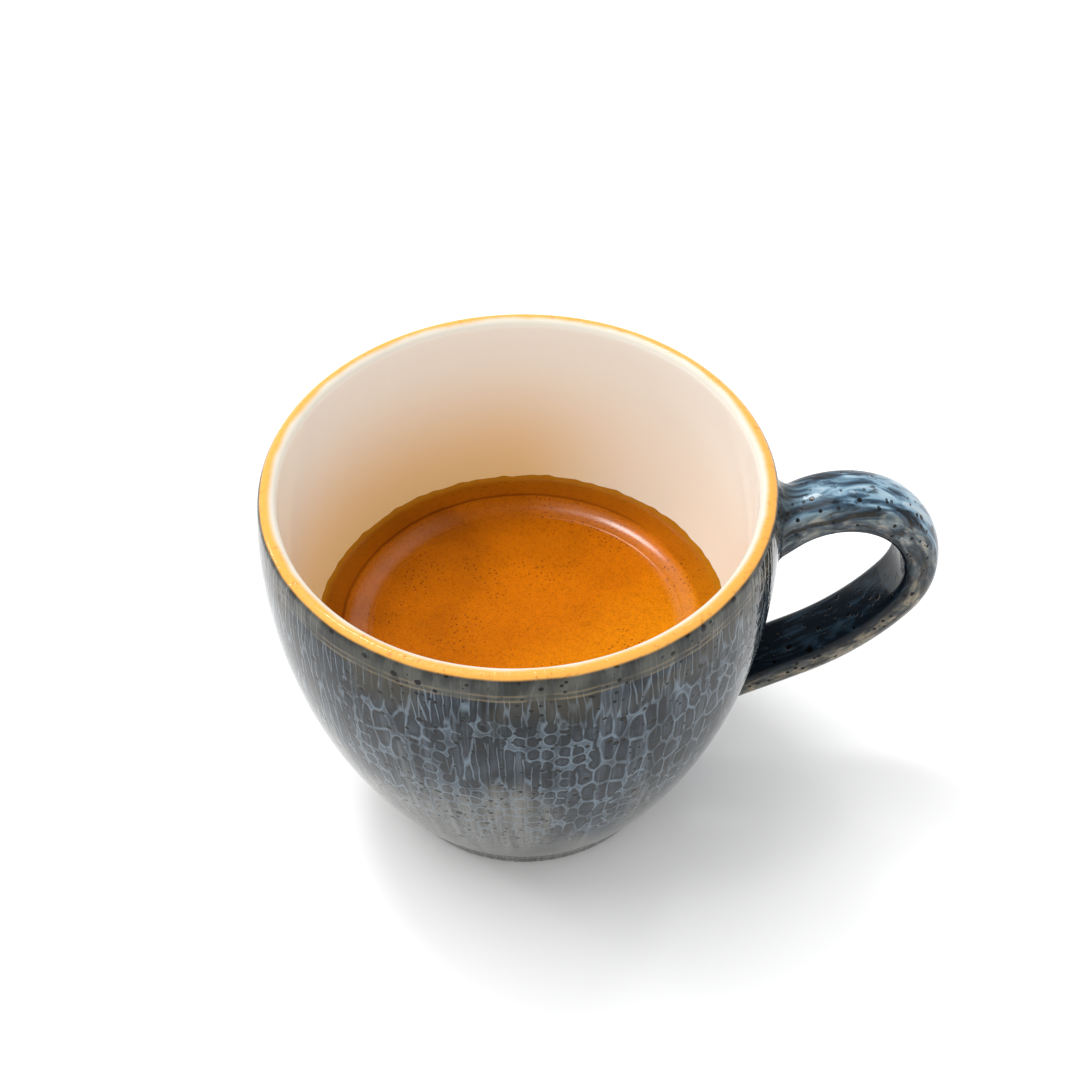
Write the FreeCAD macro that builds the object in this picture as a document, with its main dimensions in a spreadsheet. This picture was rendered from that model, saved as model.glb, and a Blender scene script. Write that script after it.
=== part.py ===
# Espresso shot: a thick-walled stoneware cup with a loop handle, and the coffee standing in it.
#
# Frame: millimetres, +Z up.  The origin is the centre of the foot, on the surface that the cup stands on,
# and the handle points along +X.
#
# The cup is turned, handled and hollowed in that order: an egg-shaped blank, a loop handle swept into it,
# fillets where the handle meets the wall, then the cavity.  The coffee fills the same cavity up to its level.
import FreeCAD, Part
import Sketcher
import math
import os

SIZES = (
    # cup, outside
    ("cup_height", 54.0, "foot to the top of the lip"),
    ("belly_radius", 32.9, "widest outer radius"),
    ("belly_drop", 7.2, "top of the lip down to the widest level"),
    ("shoulder_radius", 45.0, "arc that draws the wall in from the belly to the lip"),
    ("foot_radius", 18.5, "outer radius of the foot ring"),
    ("foot_height", 1.2, "upright edge of the foot ring"),
    ("foot_ring_width", 3.1, "flat that the cup stands on"),
    ("foot_recess", 0.9, "depth of the base inside the foot ring"),
    ("foot_round", 0.4, "rounding of the foot ring's outer edge"),
    # cup, inside
    ("wall_at_mouth", 2.8, "wall at the cavity's widest level"),
    ("wall_at_foot", 6.3, "wall where the cavity's arc, carried on, meets the foot level"),
    ("mouth_drop", 4.0, "top of the lip down to the cavity's widest level"),
    ("floor_level", 6.0, "foot to the cavity's floor"),
    ("floor_corner", 16.0, "arc between the cavity's floor and its wall"),
    ("lip_round", 1.08, "rounding of each edge of the lip"),
    # handle
    ("handle_width", 8.7, "across the strap"),
    ("handle_thickness", 5.1, "inner face to the crown"),
    ("handle_dome", 7.0, "radius of the crowned outer face"),
    ("handle_shoulder", 1.3, "radius between crown and side"),
    ("handle_corner", 1.2, "radius between side and inner face"),
    ("handle_reach", 8.1, "belly out to the centre of the bend"),
    ("bend_radius", 11.1, "centreline of the bend at the handle's outer end"),
    ("sweep_radius", 33.0, "centreline below the bend, where it straightens"),
    ("upper_tang", 5.9, "how far the upper end starts inside the belly radius"),
    ("upper_tang_drop", 15.37, "top of the lip down to the upper end of the centreline"),
    ("upper_rise", 38.6, "degrees that the upper end climbs away from the wall"),
    ("lower_tang_height", 10.6, "foot up to the lower end of the centreline"),
    ("lower_rise", 23.6, "degrees that the lower run climbs away from the wall"),
    ("upper_fillet", 2.4, "fillet round the upper root"),
    ("lower_fillet", 2.6, "fillet round the lower root"),
    # coffee
    ("drink_level", 27.5, "foot to the flat middle of the crema"),
    ("meniscus_rise", 0.6, "band's outer edge up to where the crema wets the wall"),
    ("meniscus_width", 1.5, "breadth of that rise"),
    ("band_width", 5.0, "raised ring of crema inside the meniscus"),
    ("band_crown", 0.35, "how far the ring bulges above its two edges"),
    ("slope_width", 2.6, "breadth of the slope from the middle up to the ring"),
    ("slope_rise", 0.45, "height of that slope"),
)
CUT_OVERRUN = 1.0    # how far the cavity's cut runs on above the lip
ON_THE_WALL = 0.02   # an edge this near the outer wall lies on it

document = FreeCAD.newDocument("espresso_shot")
sheet = document.addObject("Spreadsheet::Sheet", "Sizes")
for row, (alias, value, meaning) in enumerate(SIZES, start=1):
    sheet.set("A%d" % row, alias)
    sheet.set("B%d" % row, str(value))
    sheet.setAlias("B%d" % row, alias)
    sheet.set("C%d" % row, meaning)
document.recompute()


def size(alias):
    """A driving dimension, as the sheet holds it."""
    return float(sheet.get(alias))


def new_sketch(body, plane, name):
    """A sketch on one of the body's own origin planes."""
    sketch = body.newObject("Sketcher::SketchObject", name)
    origin_plane = [item for item in body.Origin.OriginFeatures if item.Role == plane][0]
    sketch.AttachmentSupport = [(origin_plane, "")]
    sketch.MapMode = "FlatFace"
    return sketch


def dimension(sketch, name, expression, kind, *where):
    """Add a dimension to a sketch and bind it to the sheet."""
    value = float(sketch.evalExpression(expression))
    if kind == "Angle":
        value = math.radians(value)
    index = sketch.addConstraint(Sketcher.Constraint(kind, *where, value))
    sketch.renameConstraint(index, name)
    sketch.setExpression("Constraints." + name, expression)


def line(sketch, start, end):
    """Add a straight segment between two (x, y) points."""
    return sketch.addGeometry(Part.LineSegment(FreeCAD.Vector(*start, 0), FreeCAD.Vector(*end, 0)))


def arc(sketch, centre, radius, start, end):
    """Add an arc that turns counter-clockwise from one angle to another, in radians."""
    circle = Part.Circle(FreeCAD.Vector(*centre, 0), FreeCAD.Vector(0, 0, 1), radius)
    return sketch.addGeometry(Part.ArcOfCircle(circle, start, end))


START, END, CENTRE = 1, 2, 3
ORIGIN = (-1, 1)
VERTICAL_AXIS = -2


def join(sketch, *ends, kind="Coincident"):
    """Tie (geometry, end) pairs together, two by two."""
    for first, second in zip(ends[::2], ends[1::2]):
        sketch.addConstraint(Sketcher.Constraint(kind, *first, *second))


def on_axis(sketch, *ends):
    """Put (geometry, end) points on the sketch's vertical axis, which is the axis the cup is turned about."""
    for end in ends:
        sketch.addConstraint(Sketcher.Constraint("PointOnObject", *end, VERTICAL_AXIS))


def level(sketch, *lines):
    for item in lines:
        sketch.addConstraint(Sketcher.Constraint("Horizontal", item))


def upright(sketch, *lines):
    for item in lines:
        sketch.addConstraint(Sketcher.Constraint("Vertical", item))


def bulge_radius(breadth, rise):
    """Radius of an arc that leaves along the rise and has moved in by breadth once it has gone that far."""
    return (breadth ** 2 + rise ** 2) / (2 * breadth)


# ---- levels and radii shared by the cup, its handle and the coffee --------------------------------------

belly_level = size("cup_height") - size("belly_drop")
flank_radius = bulge_radius(size("belly_radius") - size("foot_radius"), belly_level - size("foot_height"))
mouth_level = size("cup_height") - size("mouth_drop")
mouth_radius = size("belly_radius") - size("wall_at_mouth")
inner_foot_radius = size("foot_radius") - size("wall_at_foot")
cavity_radius = bulge_radius(mouth_radius - inner_foot_radius, mouth_level - size("foot_height"))
cavity_centre = (mouth_radius - cavity_radius, mouth_level)
corner_level = size("floor_level") + size("floor_corner")
corner_reach = math.sqrt((cavity_radius - size("floor_corner")) ** 2 - (mouth_level - corner_level) ** 2)
corner_centre = (cavity_centre[0] + corner_reach, corner_level)
corner_angle = math.atan2(corner_level - mouth_level, corner_reach)


def outer_radius(height):
    """Radius of the cup's outer wall at a height above the foot ring's upright edge."""
    below = belly_level - height
    arc_radius = flank_radius if below > 0 else size("shoulder_radius")
    return size("belly_radius") - arc_radius + math.sqrt(arc_radius ** 2 - below ** 2)


def cavity_angle(height):
    """Where the cavity's wall arc reaches a height, as an angle about its centre."""
    return math.asin((height - mouth_level) / cavity_radius)


def cavity_outline(sketch, top_angle):
    """Floor, corner and wall of the cavity, from the axis up to an angle on the wall's arc."""
    floor = line(sketch, (0, size("floor_level")), (corner_centre[0], size("floor_level")))
    corner = arc(sketch, corner_centre, size("floor_corner"), -math.pi / 2, corner_angle)
    wall = arc(sketch, cavity_centre, cavity_radius, corner_angle, top_angle)
    on_axis(sketch, (floor, START))
    level(sketch, floor)
    join(sketch, (floor, END), (corner, START), (corner, END), (wall, START), kind="Tangent")
    dimension(sketch, "floor_level", "Sizes.floor_level", "DistanceY", *ORIGIN, floor, START)
    dimension(sketch, "floor_corner", "Sizes.floor_corner", "Radius", corner)
    dimension(sketch, "mouth_level", "Sizes.cup_height - Sizes.mouth_drop", "DistanceY",
              *ORIGIN, wall, CENTRE)
    spread = "(Sizes.belly_radius - Sizes.wall_at_mouth - Sizes.foot_radius + Sizes.wall_at_foot)"
    fall = "(Sizes.cup_height - Sizes.mouth_drop - Sizes.foot_height)"
    radius = "(%s ^ 2 + %s ^ 2) / (2 * %s)" % (spread, fall, spread)
    dimension(sketch, "cavity_radius", radius, "Radius", wall)
    dimension(sketch, "cavity_centre", "%s - Sizes.belly_radius + Sizes.wall_at_mouth" % radius,
              "DistanceX", wall, CENTRE, *ORIGIN)
    return floor, wall


# ---- cup ------------------------------------------------------------------------------------------------

def blank_outline(body):
    """Half outline of the solid blank: foot ring with its recess, flank, shoulder and a flat top."""
    sketch = new_sketch(body, "YZ_Plane", "blank_outline")
    height, foot = size("cup_height"), size("foot_radius")
    ring = foot - size("foot_ring_width")
    recess, edge = size("foot_recess"), size("foot_height")
    shoulder_centre = (size("belly_radius") - size("shoulder_radius"), belly_level)
    flank_centre = (size("belly_radius") - flank_radius, belly_level)
    shoulder_angle = math.asin(size("belly_drop") / size("shoulder_radius"))
    flank_angle = math.asin((belly_level - edge) / flank_radius)

    axis = line(sketch, (0, recess), (0, height))
    top = line(sketch, (0, height), (outer_radius(height), height))
    shoulder = arc(sketch, shoulder_centre, size("shoulder_radius"), 0, shoulder_angle)
    flank = arc(sketch, flank_centre, flank_radius, -flank_angle, 0)
    foot_edge = line(sketch, (foot, edge), (foot, 0))
    foot_flat = line(sketch, (foot, 0), (ring, 0))
    recess_edge = line(sketch, (ring, 0), (ring, recess))
    recess_flat = line(sketch, (ring, recess), (0, recess))

    join(sketch, (axis, END), (top, START), (top, END), (shoulder, END), (shoulder, START), (flank, END),
         (flank, START), (foot_edge, START), (foot_edge, END), (foot_flat, START),
         (foot_flat, END), (recess_edge, START), (recess_edge, END), (recess_flat, START),
         (recess_flat, END), (axis, START))
    on_axis(sketch, (axis, START), (axis, END))
    level(sketch, top, foot_flat, recess_flat)
    upright(sketch, foot_edge, recess_edge)
    belly = "Sizes.cup_height - Sizes.belly_drop"
    dimension(sketch, "cup_height", "Sizes.cup_height", "DistanceY", *ORIGIN, axis, END)
    dimension(sketch, "belly_radius", "Sizes.belly_radius", "DistanceX", *ORIGIN, flank, END)
    dimension(sketch, "belly_level", belly, "DistanceY", *ORIGIN, flank, END)
    dimension(sketch, "shoulder_level", belly, "DistanceY", *ORIGIN, shoulder, CENTRE)
    dimension(sketch, "flank_level", belly, "DistanceY", *ORIGIN, flank, CENTRE)
    dimension(sketch, "shoulder_radius", "Sizes.shoulder_radius", "Radius", shoulder)
    dimension(sketch, "foot_radius", "Sizes.foot_radius", "DistanceX", *ORIGIN, foot_edge, END)
    sketch.addConstraint(Sketcher.Constraint("PointOnObject", foot_flat, START, -1))
    dimension(sketch, "foot_height", "Sizes.foot_height", "DistanceY", foot_edge, END, foot_edge, START)
    dimension(sketch, "foot_ring", "Sizes.foot_ring_width", "DistanceX", foot_flat, END, foot_flat, START)
    dimension(sketch, "foot_recess", "Sizes.foot_recess", "DistanceY", recess_edge, START, recess_edge, END)
    return sketch


def handle_path(body):
    """Centreline of the handle: up from the wall, round the bend, and down a long run back to the wall."""
    sketch = new_sketch(body, "XZ_Plane", "handle_path")
    bend, sweep = size("bend_radius"), size("sweep_radius")
    rise, fall = math.radians(size("upper_rise")), math.radians(size("lower_rise"))
    upper = (size("belly_radius") - size("upper_tang"), size("cup_height") - size("upper_tang_drop"))
    lower = (size("foot_radius"), size("lower_tang_height"))

    # The bend touches the upper line at a point whose distance out follows from the handle's reach.
    bend_x = size("belly_radius") + size("handle_reach")
    touch_x = bend_x - bend * math.sin(rise)
    touch = (touch_x, upper[1] + (touch_x - upper[0]) * math.tan(rise))
    bend_centre = (bend_x, touch[1] - bend * math.cos(rise))

    # The sweep touches the bend from inside and the lower line from above.
    along = (math.cos(fall), math.sin(fall))
    across = (-along[1], along[0])
    from_lower = (bend_centre[0] - lower[0], bend_centre[1] - lower[1])
    clearance = from_lower[0] * across[0] + from_lower[1] * across[1]
    lift = sweep - clearance
    slide = math.sqrt((sweep - bend) ** 2 - lift ** 2)
    sweep_centre = tuple(bend_centre[i] + lift * across[i] - slide * along[i] for i in (0, 1))
    landing = tuple(sweep_centre[i] - sweep * across[i] for i in (0, 1))
    turn = math.atan2(bend_centre[1] - sweep_centre[1], bend_centre[0] - sweep_centre[0])

    climb = line(sketch, upper, touch)
    loop = arc(sketch, bend_centre, bend, turn, math.pi / 2 + rise)
    straighten = arc(sketch, sweep_centre, sweep, fall - math.pi / 2, turn)
    run = line(sketch, landing, lower)
    join(sketch, (climb, END), (loop, END), (loop, START), (straighten, END),
         (straighten, START), (run, START), kind="Tangent")
    dimension(sketch, "upper_x", "Sizes.belly_radius - Sizes.upper_tang", "DistanceX",
              *ORIGIN, climb, START)
    dimension(sketch, "upper_z", "Sizes.cup_height - Sizes.upper_tang_drop", "DistanceY",
              *ORIGIN, climb, START)
    dimension(sketch, "upper_rise", "Sizes.upper_rise * 1deg", "Angle", climb)
    dimension(sketch, "bend_x", "Sizes.belly_radius + Sizes.handle_reach", "DistanceX",
              *ORIGIN, loop, CENTRE)
    dimension(sketch, "bend_radius", "Sizes.bend_radius", "Radius", loop)
    dimension(sketch, "sweep_radius", "Sizes.sweep_radius", "Radius", straighten)
    dimension(sketch, "lower_x", "Sizes.foot_radius", "DistanceX", *ORIGIN, run, END)
    dimension(sketch, "lower_z", "Sizes.lower_tang_height", "DistanceY", *ORIGIN, run, END)
    dimension(sketch, "lower_rise", "(Sizes.lower_rise - 180) * 1deg", "Angle", run)
    return sketch


def handle_section(body):
    """Section of the strap at the upper end: flat inner face, short sides and a crowned outer face."""
    sketch = new_sketch(body, "YZ_Plane", "handle_section")
    sketch.setExpression("AttachmentOffset.Base.y", "Sizes.cup_height - Sizes.upper_tang_drop")
    sketch.setExpression("AttachmentOffset.Base.z", "Sizes.belly_radius - Sizes.upper_tang")
    sketch.AttachmentOffset = FreeCAD.Placement(
        FreeCAD.Vector(0, size("cup_height") - size("upper_tang_drop"),
                       size("belly_radius") - size("upper_tang")),
        FreeCAD.Rotation(FreeCAD.Vector(-1, 0, 0), size("upper_rise")))
    sketch.setExpression("AttachmentOffset.Rotation.Angle", "Sizes.upper_rise * 1deg")

    half, low = size("handle_width") / 2, -size("handle_thickness") / 2
    dome, shoulder, corner = size("handle_dome"), size("handle_shoulder"), size("handle_corner")
    dome_centre = (0, -low - dome)
    shoulder_x = half - shoulder
    shoulder_y = dome_centre[1] + math.sqrt((dome - shoulder) ** 2 - shoulder_x ** 2)
    swing = math.atan2(shoulder_y - dome_centre[1], shoulder_x)
    right = math.pi / 2

    crown = arc(sketch, dome_centre, dome, swing, math.pi - swing)
    left_shoulder = arc(sketch, (-shoulder_x, shoulder_y), shoulder, math.pi - swing, math.pi)
    left_side = line(sketch, (-half, shoulder_y), (-half, low + corner))
    left_corner = arc(sketch, (corner - half, low + corner), corner, math.pi, math.pi + right)
    inner_face = line(sketch, (corner - half, low), (half - corner, low))
    right_corner = arc(sketch, (half - corner, low + corner), corner, -right, 0)
    right_side = line(sketch, (half, low + corner), (half, shoulder_y))
    right_shoulder = arc(sketch, (shoulder_x, shoulder_y), shoulder, 0, swing)

    join(sketch, (crown, END), (left_shoulder, START), (left_shoulder, END), (left_side, START),
         (left_side, END), (left_corner, START), (left_corner, END), (inner_face, START),
         (inner_face, END), (right_corner, START), (right_corner, END), (right_side, START),
         (right_side, END), (right_shoulder, START), (right_shoulder, END), (crown, START), kind="Tangent")
    on_axis(sketch, (crown, CENTRE))
    upright(sketch, left_side, right_side)
    sketch.addConstraint(Sketcher.Constraint("Symmetric", inner_face, START, inner_face, END,
                                             VERTICAL_AXIS))
    sketch.addConstraint(Sketcher.Constraint("Equal", left_corner, right_corner))
    sketch.addConstraint(Sketcher.Constraint("Equal", left_shoulder, right_shoulder))
    dimension(sketch, "inner_face", "Sizes.handle_thickness / 2", "DistanceY", inner_face, START, *ORIGIN)
    dimension(sketch, "crown_centre", "Sizes.handle_dome - Sizes.handle_thickness / 2", "DistanceY",
              crown, CENTRE, *ORIGIN)
    dimension(sketch, "handle_dome", "Sizes.handle_dome", "Radius", crown)
    dimension(sketch, "handle_corner", "Sizes.handle_corner", "Radius", right_corner)
    dimension(sketch, "handle_shoulder", "Sizes.handle_shoulder", "Radius", right_shoulder)
    dimension(sketch, "handle_width", "Sizes.handle_width", "DistanceX", left_side, START, right_side, END)
    return sketch


def root_edges(shape, upper):
    """Names of the edges where the handle meets the outer wall, at its upper or its lower root."""
    reach = size("handle_width")
    split = belly_level / 2
    names = []
    for number, edge in enumerate(shape.Edges, start=1):
        points = edge.discretize(9)
        on_wall = all(abs(math.hypot(p.x, p.y) - outer_radius(p.z)) < ON_THE_WALL for p in points)
        beside = all(p.x > 0 and abs(p.y) < reach for p in points)
        if on_wall and beside and (points[4].z > split) == upper:
            names.append("Edge%d" % number)
    return names


def ring_edges(shape, height, at_least):
    """Names of the round edges at a height whose radius is no less than the one given."""
    names = []
    for number, edge in enumerate(shape.Edges, start=1):
        box = edge.BoundBox
        if abs(box.ZMin - height) < ON_THE_WALL and box.ZLength < ON_THE_WALL and box.XMax > at_least:
            names.append("Edge%d" % number)
    return names


def fillet(body, base, edges, alias, name):
    """Round the named edges of a feature with a radius from the sheet."""
    if not edges:
        raise RuntimeError("%s finds no edges" % name)
    feature = body.newObject("PartDesign::Fillet", name)
    feature.Base = (base, edges)
    feature.setExpression("Radius", "Sizes." + alias)
    document.recompute()
    return feature


def make_cup():
    """Turned blank with its handle, hollowed, with rounded lip, foot and handle roots: one fired piece."""
    body = document.addObject("PartDesign::Body", "cup")
    body.Label = "cup"

    outline = blank_outline(body)
    blank = body.newObject("PartDesign::Revolution", "blank")
    blank.Profile = outline
    blank.ReferenceAxis = (outline, ["V_Axis"])
    blank.Angle = 360

    path = handle_path(body)
    section = handle_section(body)
    handle = body.newObject("PartDesign::AdditivePipe", "handle")
    handle.Profile = section
    handle.Spine = path
    document.recompute()

    upper = fillet(body, handle, root_edges(handle.Shape, True), "upper_fillet", "upper_root")
    lower = fillet(body, upper, root_edges(upper.Shape, False), "lower_fillet", "lower_root")

    hollow = new_sketch(body, "YZ_Plane", "hollow_outline")
    lip_angle = cavity_angle(size("cup_height"))
    floor, wall = cavity_outline(hollow, lip_angle)
    lip_x = cavity_centre[0] + cavity_radius * math.cos(lip_angle)
    over = size("cup_height") + CUT_OVERRUN
    clear = line(hollow, (lip_x, size("cup_height")), (lip_x, over))
    lid = line(hollow, (lip_x, over), (0, over))
    axis = line(hollow, (0, over), (0, size("floor_level")))
    join(hollow, (wall, END), (clear, START), (clear, END), (lid, START), (lid, END), (axis, START),
         (axis, END), (floor, START))
    upright(hollow, clear, axis)
    level(hollow, lid)
    dimension(hollow, "lip_level", "Sizes.cup_height", "DistanceY", *ORIGIN, wall, END)
    dimension(hollow, "cut_top", "Sizes.cup_height + %g" % CUT_OVERRUN, "DistanceY", *ORIGIN, lid, START)
    cavity = body.newObject("PartDesign::Groove", "cavity")
    cavity.Profile = hollow
    cavity.ReferenceAxis = (hollow, ["V_Axis"])
    cavity.Angle = 360
    document.recompute()
    if cavity.Shape.Volume > lower.Shape.Volume * 0.9:
        raise RuntimeError("the cavity cut nothing")

    lip = fillet(body, cavity, ring_edges(cavity.Shape, size("cup_height"), 0), "lip_round", "lip")
    fillet(body, lip, ring_edges(lip.Shape, 0, size("foot_radius") - ON_THE_WALL), "foot_round", "foot")
    return body


# ---- coffee ---------------------------------------------------------------------------------------------

def drink_outline(body):
    """Half outline of the coffee: the cavity's floor and wall, the meniscus, the raised ring, the middle."""
    sketch = new_sketch(body, "YZ_Plane", "drink_outline")
    middle = size("drink_level")
    edge = middle + size("slope_rise")
    contact = edge + size("meniscus_rise")
    contact_angle = cavity_angle(contact)
    contact_x = cavity_centre[0] + cavity_radius * math.cos(contact_angle)
    band_out = contact_x - size("meniscus_width")
    band_in = band_out - size("band_width")
    middle_x = band_in - size("slope_width")
    meniscus_radius = bulge_radius(size("meniscus_rise"), size("meniscus_width"))
    crown_radius = bulge_radius(size("band_crown"), size("band_width") / 2)
    crown_centre = ((band_in + band_out) / 2, edge + size("band_crown") - crown_radius)
    crown_lean = math.asin(size("band_width") / 2 / crown_radius)
    meniscus_turn = math.asin(size("meniscus_width") / meniscus_radius)
    right = math.pi / 2

    floor, wall = cavity_outline(sketch, contact_angle)
    meniscus = arc(sketch, (band_out, edge + meniscus_radius), meniscus_radius, -right,
                   -right + meniscus_turn)
    crown = arc(sketch, crown_centre, crown_radius, right - crown_lean, right + crown_lean)
    slope = line(sketch, (band_in, edge), (middle_x, middle))
    surface = line(sketch, (middle_x, middle), (0, middle))
    axis = line(sketch, (0, middle), (0, size("floor_level")))
    join(sketch, (wall, END), (meniscus, END), (meniscus, START), (crown, START), (crown, END),
         (slope, START), (slope, END), (surface, START), (surface, END), (axis, START),
         (axis, END), (floor, START))
    level(sketch, surface)
    upright(sketch, axis)
    sketch.addConstraint(Sketcher.Constraint("Vertical", meniscus, START, meniscus, CENTRE))
    sketch.addConstraint(Sketcher.Constraint("Horizontal", crown, START, crown, END))
    dimension(sketch, "drink_level", "Sizes.drink_level", "DistanceY", *ORIGIN, surface, START)
    dimension(sketch, "slope_rise", "Sizes.slope_rise", "DistanceY", slope, END, slope, START)
    dimension(sketch, "slope_width", "Sizes.slope_width", "DistanceX", slope, END, slope, START)
    dimension(sketch, "band_width", "Sizes.band_width", "DistanceX", crown, END, crown, START)
    dimension(sketch, "meniscus_rise", "Sizes.meniscus_rise", "DistanceY", meniscus, START, meniscus, END)
    dimension(sketch, "meniscus_width", "Sizes.meniscus_width", "DistanceX", meniscus, START,
              meniscus, END)
    dimension(sketch, "crown_radius", "(Sizes.band_crown ^ 2 + (Sizes.band_width / 2) ^ 2)"
              " / (2 * Sizes.band_crown)", "Radius", crown)
    return sketch


def make_espresso():
    """The coffee, from the cavity's floor to the top of its crema, with the wall's own arc as its side."""
    body = document.addObject("PartDesign::Body", "espresso")
    body.Label = "espresso"
    outline = drink_outline(body)
    drink = body.newObject("PartDesign::Revolution", "drink")
    drink.Profile = outline
    drink.ReferenceAxis = (outline, ["V_Axis"])
    drink.Angle = 360
    return body


# ---- build, check, write --------------------------------------------------------------------------------

parts = (make_cup(), make_espresso())
document.recompute()
for item in document.Objects:
    if "Invalid" in item.State or "Error" in item.State:
        raise RuntimeError("%s failed: %s" % (item.Name, item.State))
for body in parts:
    shape = body.Shape
    if shape.isNull() or not shape.isValid() or len(shape.Solids) != 1:
        raise RuntimeError("%s is not one valid solid" % body.Label)

os.makedirs("parts", exist_ok=True)
for body in parts:
    body.Shape.exportStep("parts/%s.step" % body.Label)
    print("%s: %.0f mm3, box %s" % (body.Label, body.Shape.Volume, body.Shape.BoundBox))
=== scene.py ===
"""Espresso shot in a stoneware cup: the glazed cup, the coffee with its crema, and a plain studio.

Run as a script. Each piece is an operator, its sizes and colours are properties of the scene, and main()
calls the operators in order. All lengths are metres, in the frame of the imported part.
"""

import math

import bpy
import numpy as np
from mathutils import Matrix, Vector


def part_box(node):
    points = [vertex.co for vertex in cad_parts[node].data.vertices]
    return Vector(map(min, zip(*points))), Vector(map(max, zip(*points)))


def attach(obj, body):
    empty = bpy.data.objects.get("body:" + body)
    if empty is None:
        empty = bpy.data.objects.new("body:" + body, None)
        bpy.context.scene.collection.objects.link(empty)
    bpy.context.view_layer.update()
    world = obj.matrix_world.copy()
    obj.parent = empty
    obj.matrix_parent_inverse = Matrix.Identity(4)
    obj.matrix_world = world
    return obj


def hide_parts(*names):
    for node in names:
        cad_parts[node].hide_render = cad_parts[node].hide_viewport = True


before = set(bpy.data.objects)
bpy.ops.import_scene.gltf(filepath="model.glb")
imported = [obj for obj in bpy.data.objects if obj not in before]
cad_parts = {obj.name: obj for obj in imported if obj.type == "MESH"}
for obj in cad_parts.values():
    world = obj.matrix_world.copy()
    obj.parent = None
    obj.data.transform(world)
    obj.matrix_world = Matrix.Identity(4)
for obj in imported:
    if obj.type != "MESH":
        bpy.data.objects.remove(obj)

bl_info = {
    "name": "Espresso shot",
    "version": (1, 0, 0),
    "blender": (4, 5, 0),
    "location": "3D View > Sidebar > Espresso",
    "description": "Builds a glazed stoneware cup with an espresso and its crema round the packed part",
    "category": "Object",
}

MM = 0.001
FULL_TURN = 2 * math.pi
CUP_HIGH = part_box("cup")[1]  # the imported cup's farthest corner: handle, belly and lip

# Rows, columns and rings of the meshes.
COLUMNS = 360  # round the cup and the coffee
WINDOW_COLUMNS = 38  # columns that each root of the handle takes out of the wall
WINDOW_ROWS = 30  # rows that it takes out
BELOW_ROWS, BETWEEN_ROWS, ABOVE_ROWS = 5, 12, 2  # rows of the wall below, between and above the windows
RECESS_ROWS = 7  # from the axis to the foot ring
EDGE_ROWS = 5  # round the foot ring's inner edge
ROLL_ROWS = 8  # round its outer edge
LIP_ROWS = 25  # over the lip
WALL_ROWS, COARSE_ROWS = 38, 9  # down the cavity's wall, above and below COARSE_LEVEL
CORNER_ROWS = 9  # round the cavity's floor corner
FLOOR_ROWS = 5  # from the corner to the axis
COFFEE_WALL_ROWS = 14  # up the coffee's wall
TOP_SPANS = ((0.0, 0.12, 25), (0.12, 0.30, 59), (0.30, 1.0, 34))  # shares of the way in, and rows
COLLAR_RINGS, FILLET_RINGS, STRAP_RINGS = 9, 11, 96  # along the handle, from one root to the other
LINE_POINTS = 4001  # of the handle's centreline
LINE_STRIDE = 8  # points between those that are tried for where the handle leaves the wall
HALVINGS = 40  # steps that narrow a root down to far below a micrometre

# Lengths of construction that leave no mark on the shape.
WINDOW_SPAN = 18.6 * MM  # height of a window, enough for a root with its fillet
LOWER_WINDOW = 5.6 * MM  # foot to the lower window
UPPER_WINDOW_DROP = 1.9 * MM  # top of the lip down to the upper window
COARSE_LEVEL = 26 * MM  # the cavity's rows are coarse below this, under the coffee
LEAD, TAIL = 12 * MM, 18 * MM  # straight runs of the handle's centreline that reach into the wall
REACH_BACK = 9 * MM  # farthest that a point of the handle is carried back to the wall


# ---- properties ----------------------------------------------------------------------------------

def linear(code):
    """An sRGB hex colour as the linear red, green, blue and alpha that shaders take."""
    coded = np.array([int(code[i:i + 2], 16) for i in (1, 3, 5)]) / 255
    shown = np.where(coded <= 0.04045, coded / 12.92, ((coded + 0.055) / 1.055) ** 2.4)
    return (*shown.tolist(), 1.0)


def length(name, description, default):
    """A length in metres, as a property."""
    return bpy.props.FloatProperty(
        name=name, description=description, default=default, min=0.0, precision=5, unit="LENGTH")


def angle(name, description, degrees):
    """An angle given in degrees, as a property."""
    return bpy.props.FloatProperty(
        name=name, description=description, default=math.radians(degrees), subtype="ANGLE")


def colour(name, description, code):
    """A colour given as sRGB hex, as a property."""
    return bpy.props.FloatVectorProperty(
        name=name, description=description, default=linear(code), size=4, min=0.0, max=1.0,
        subtype="COLOR")


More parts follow.
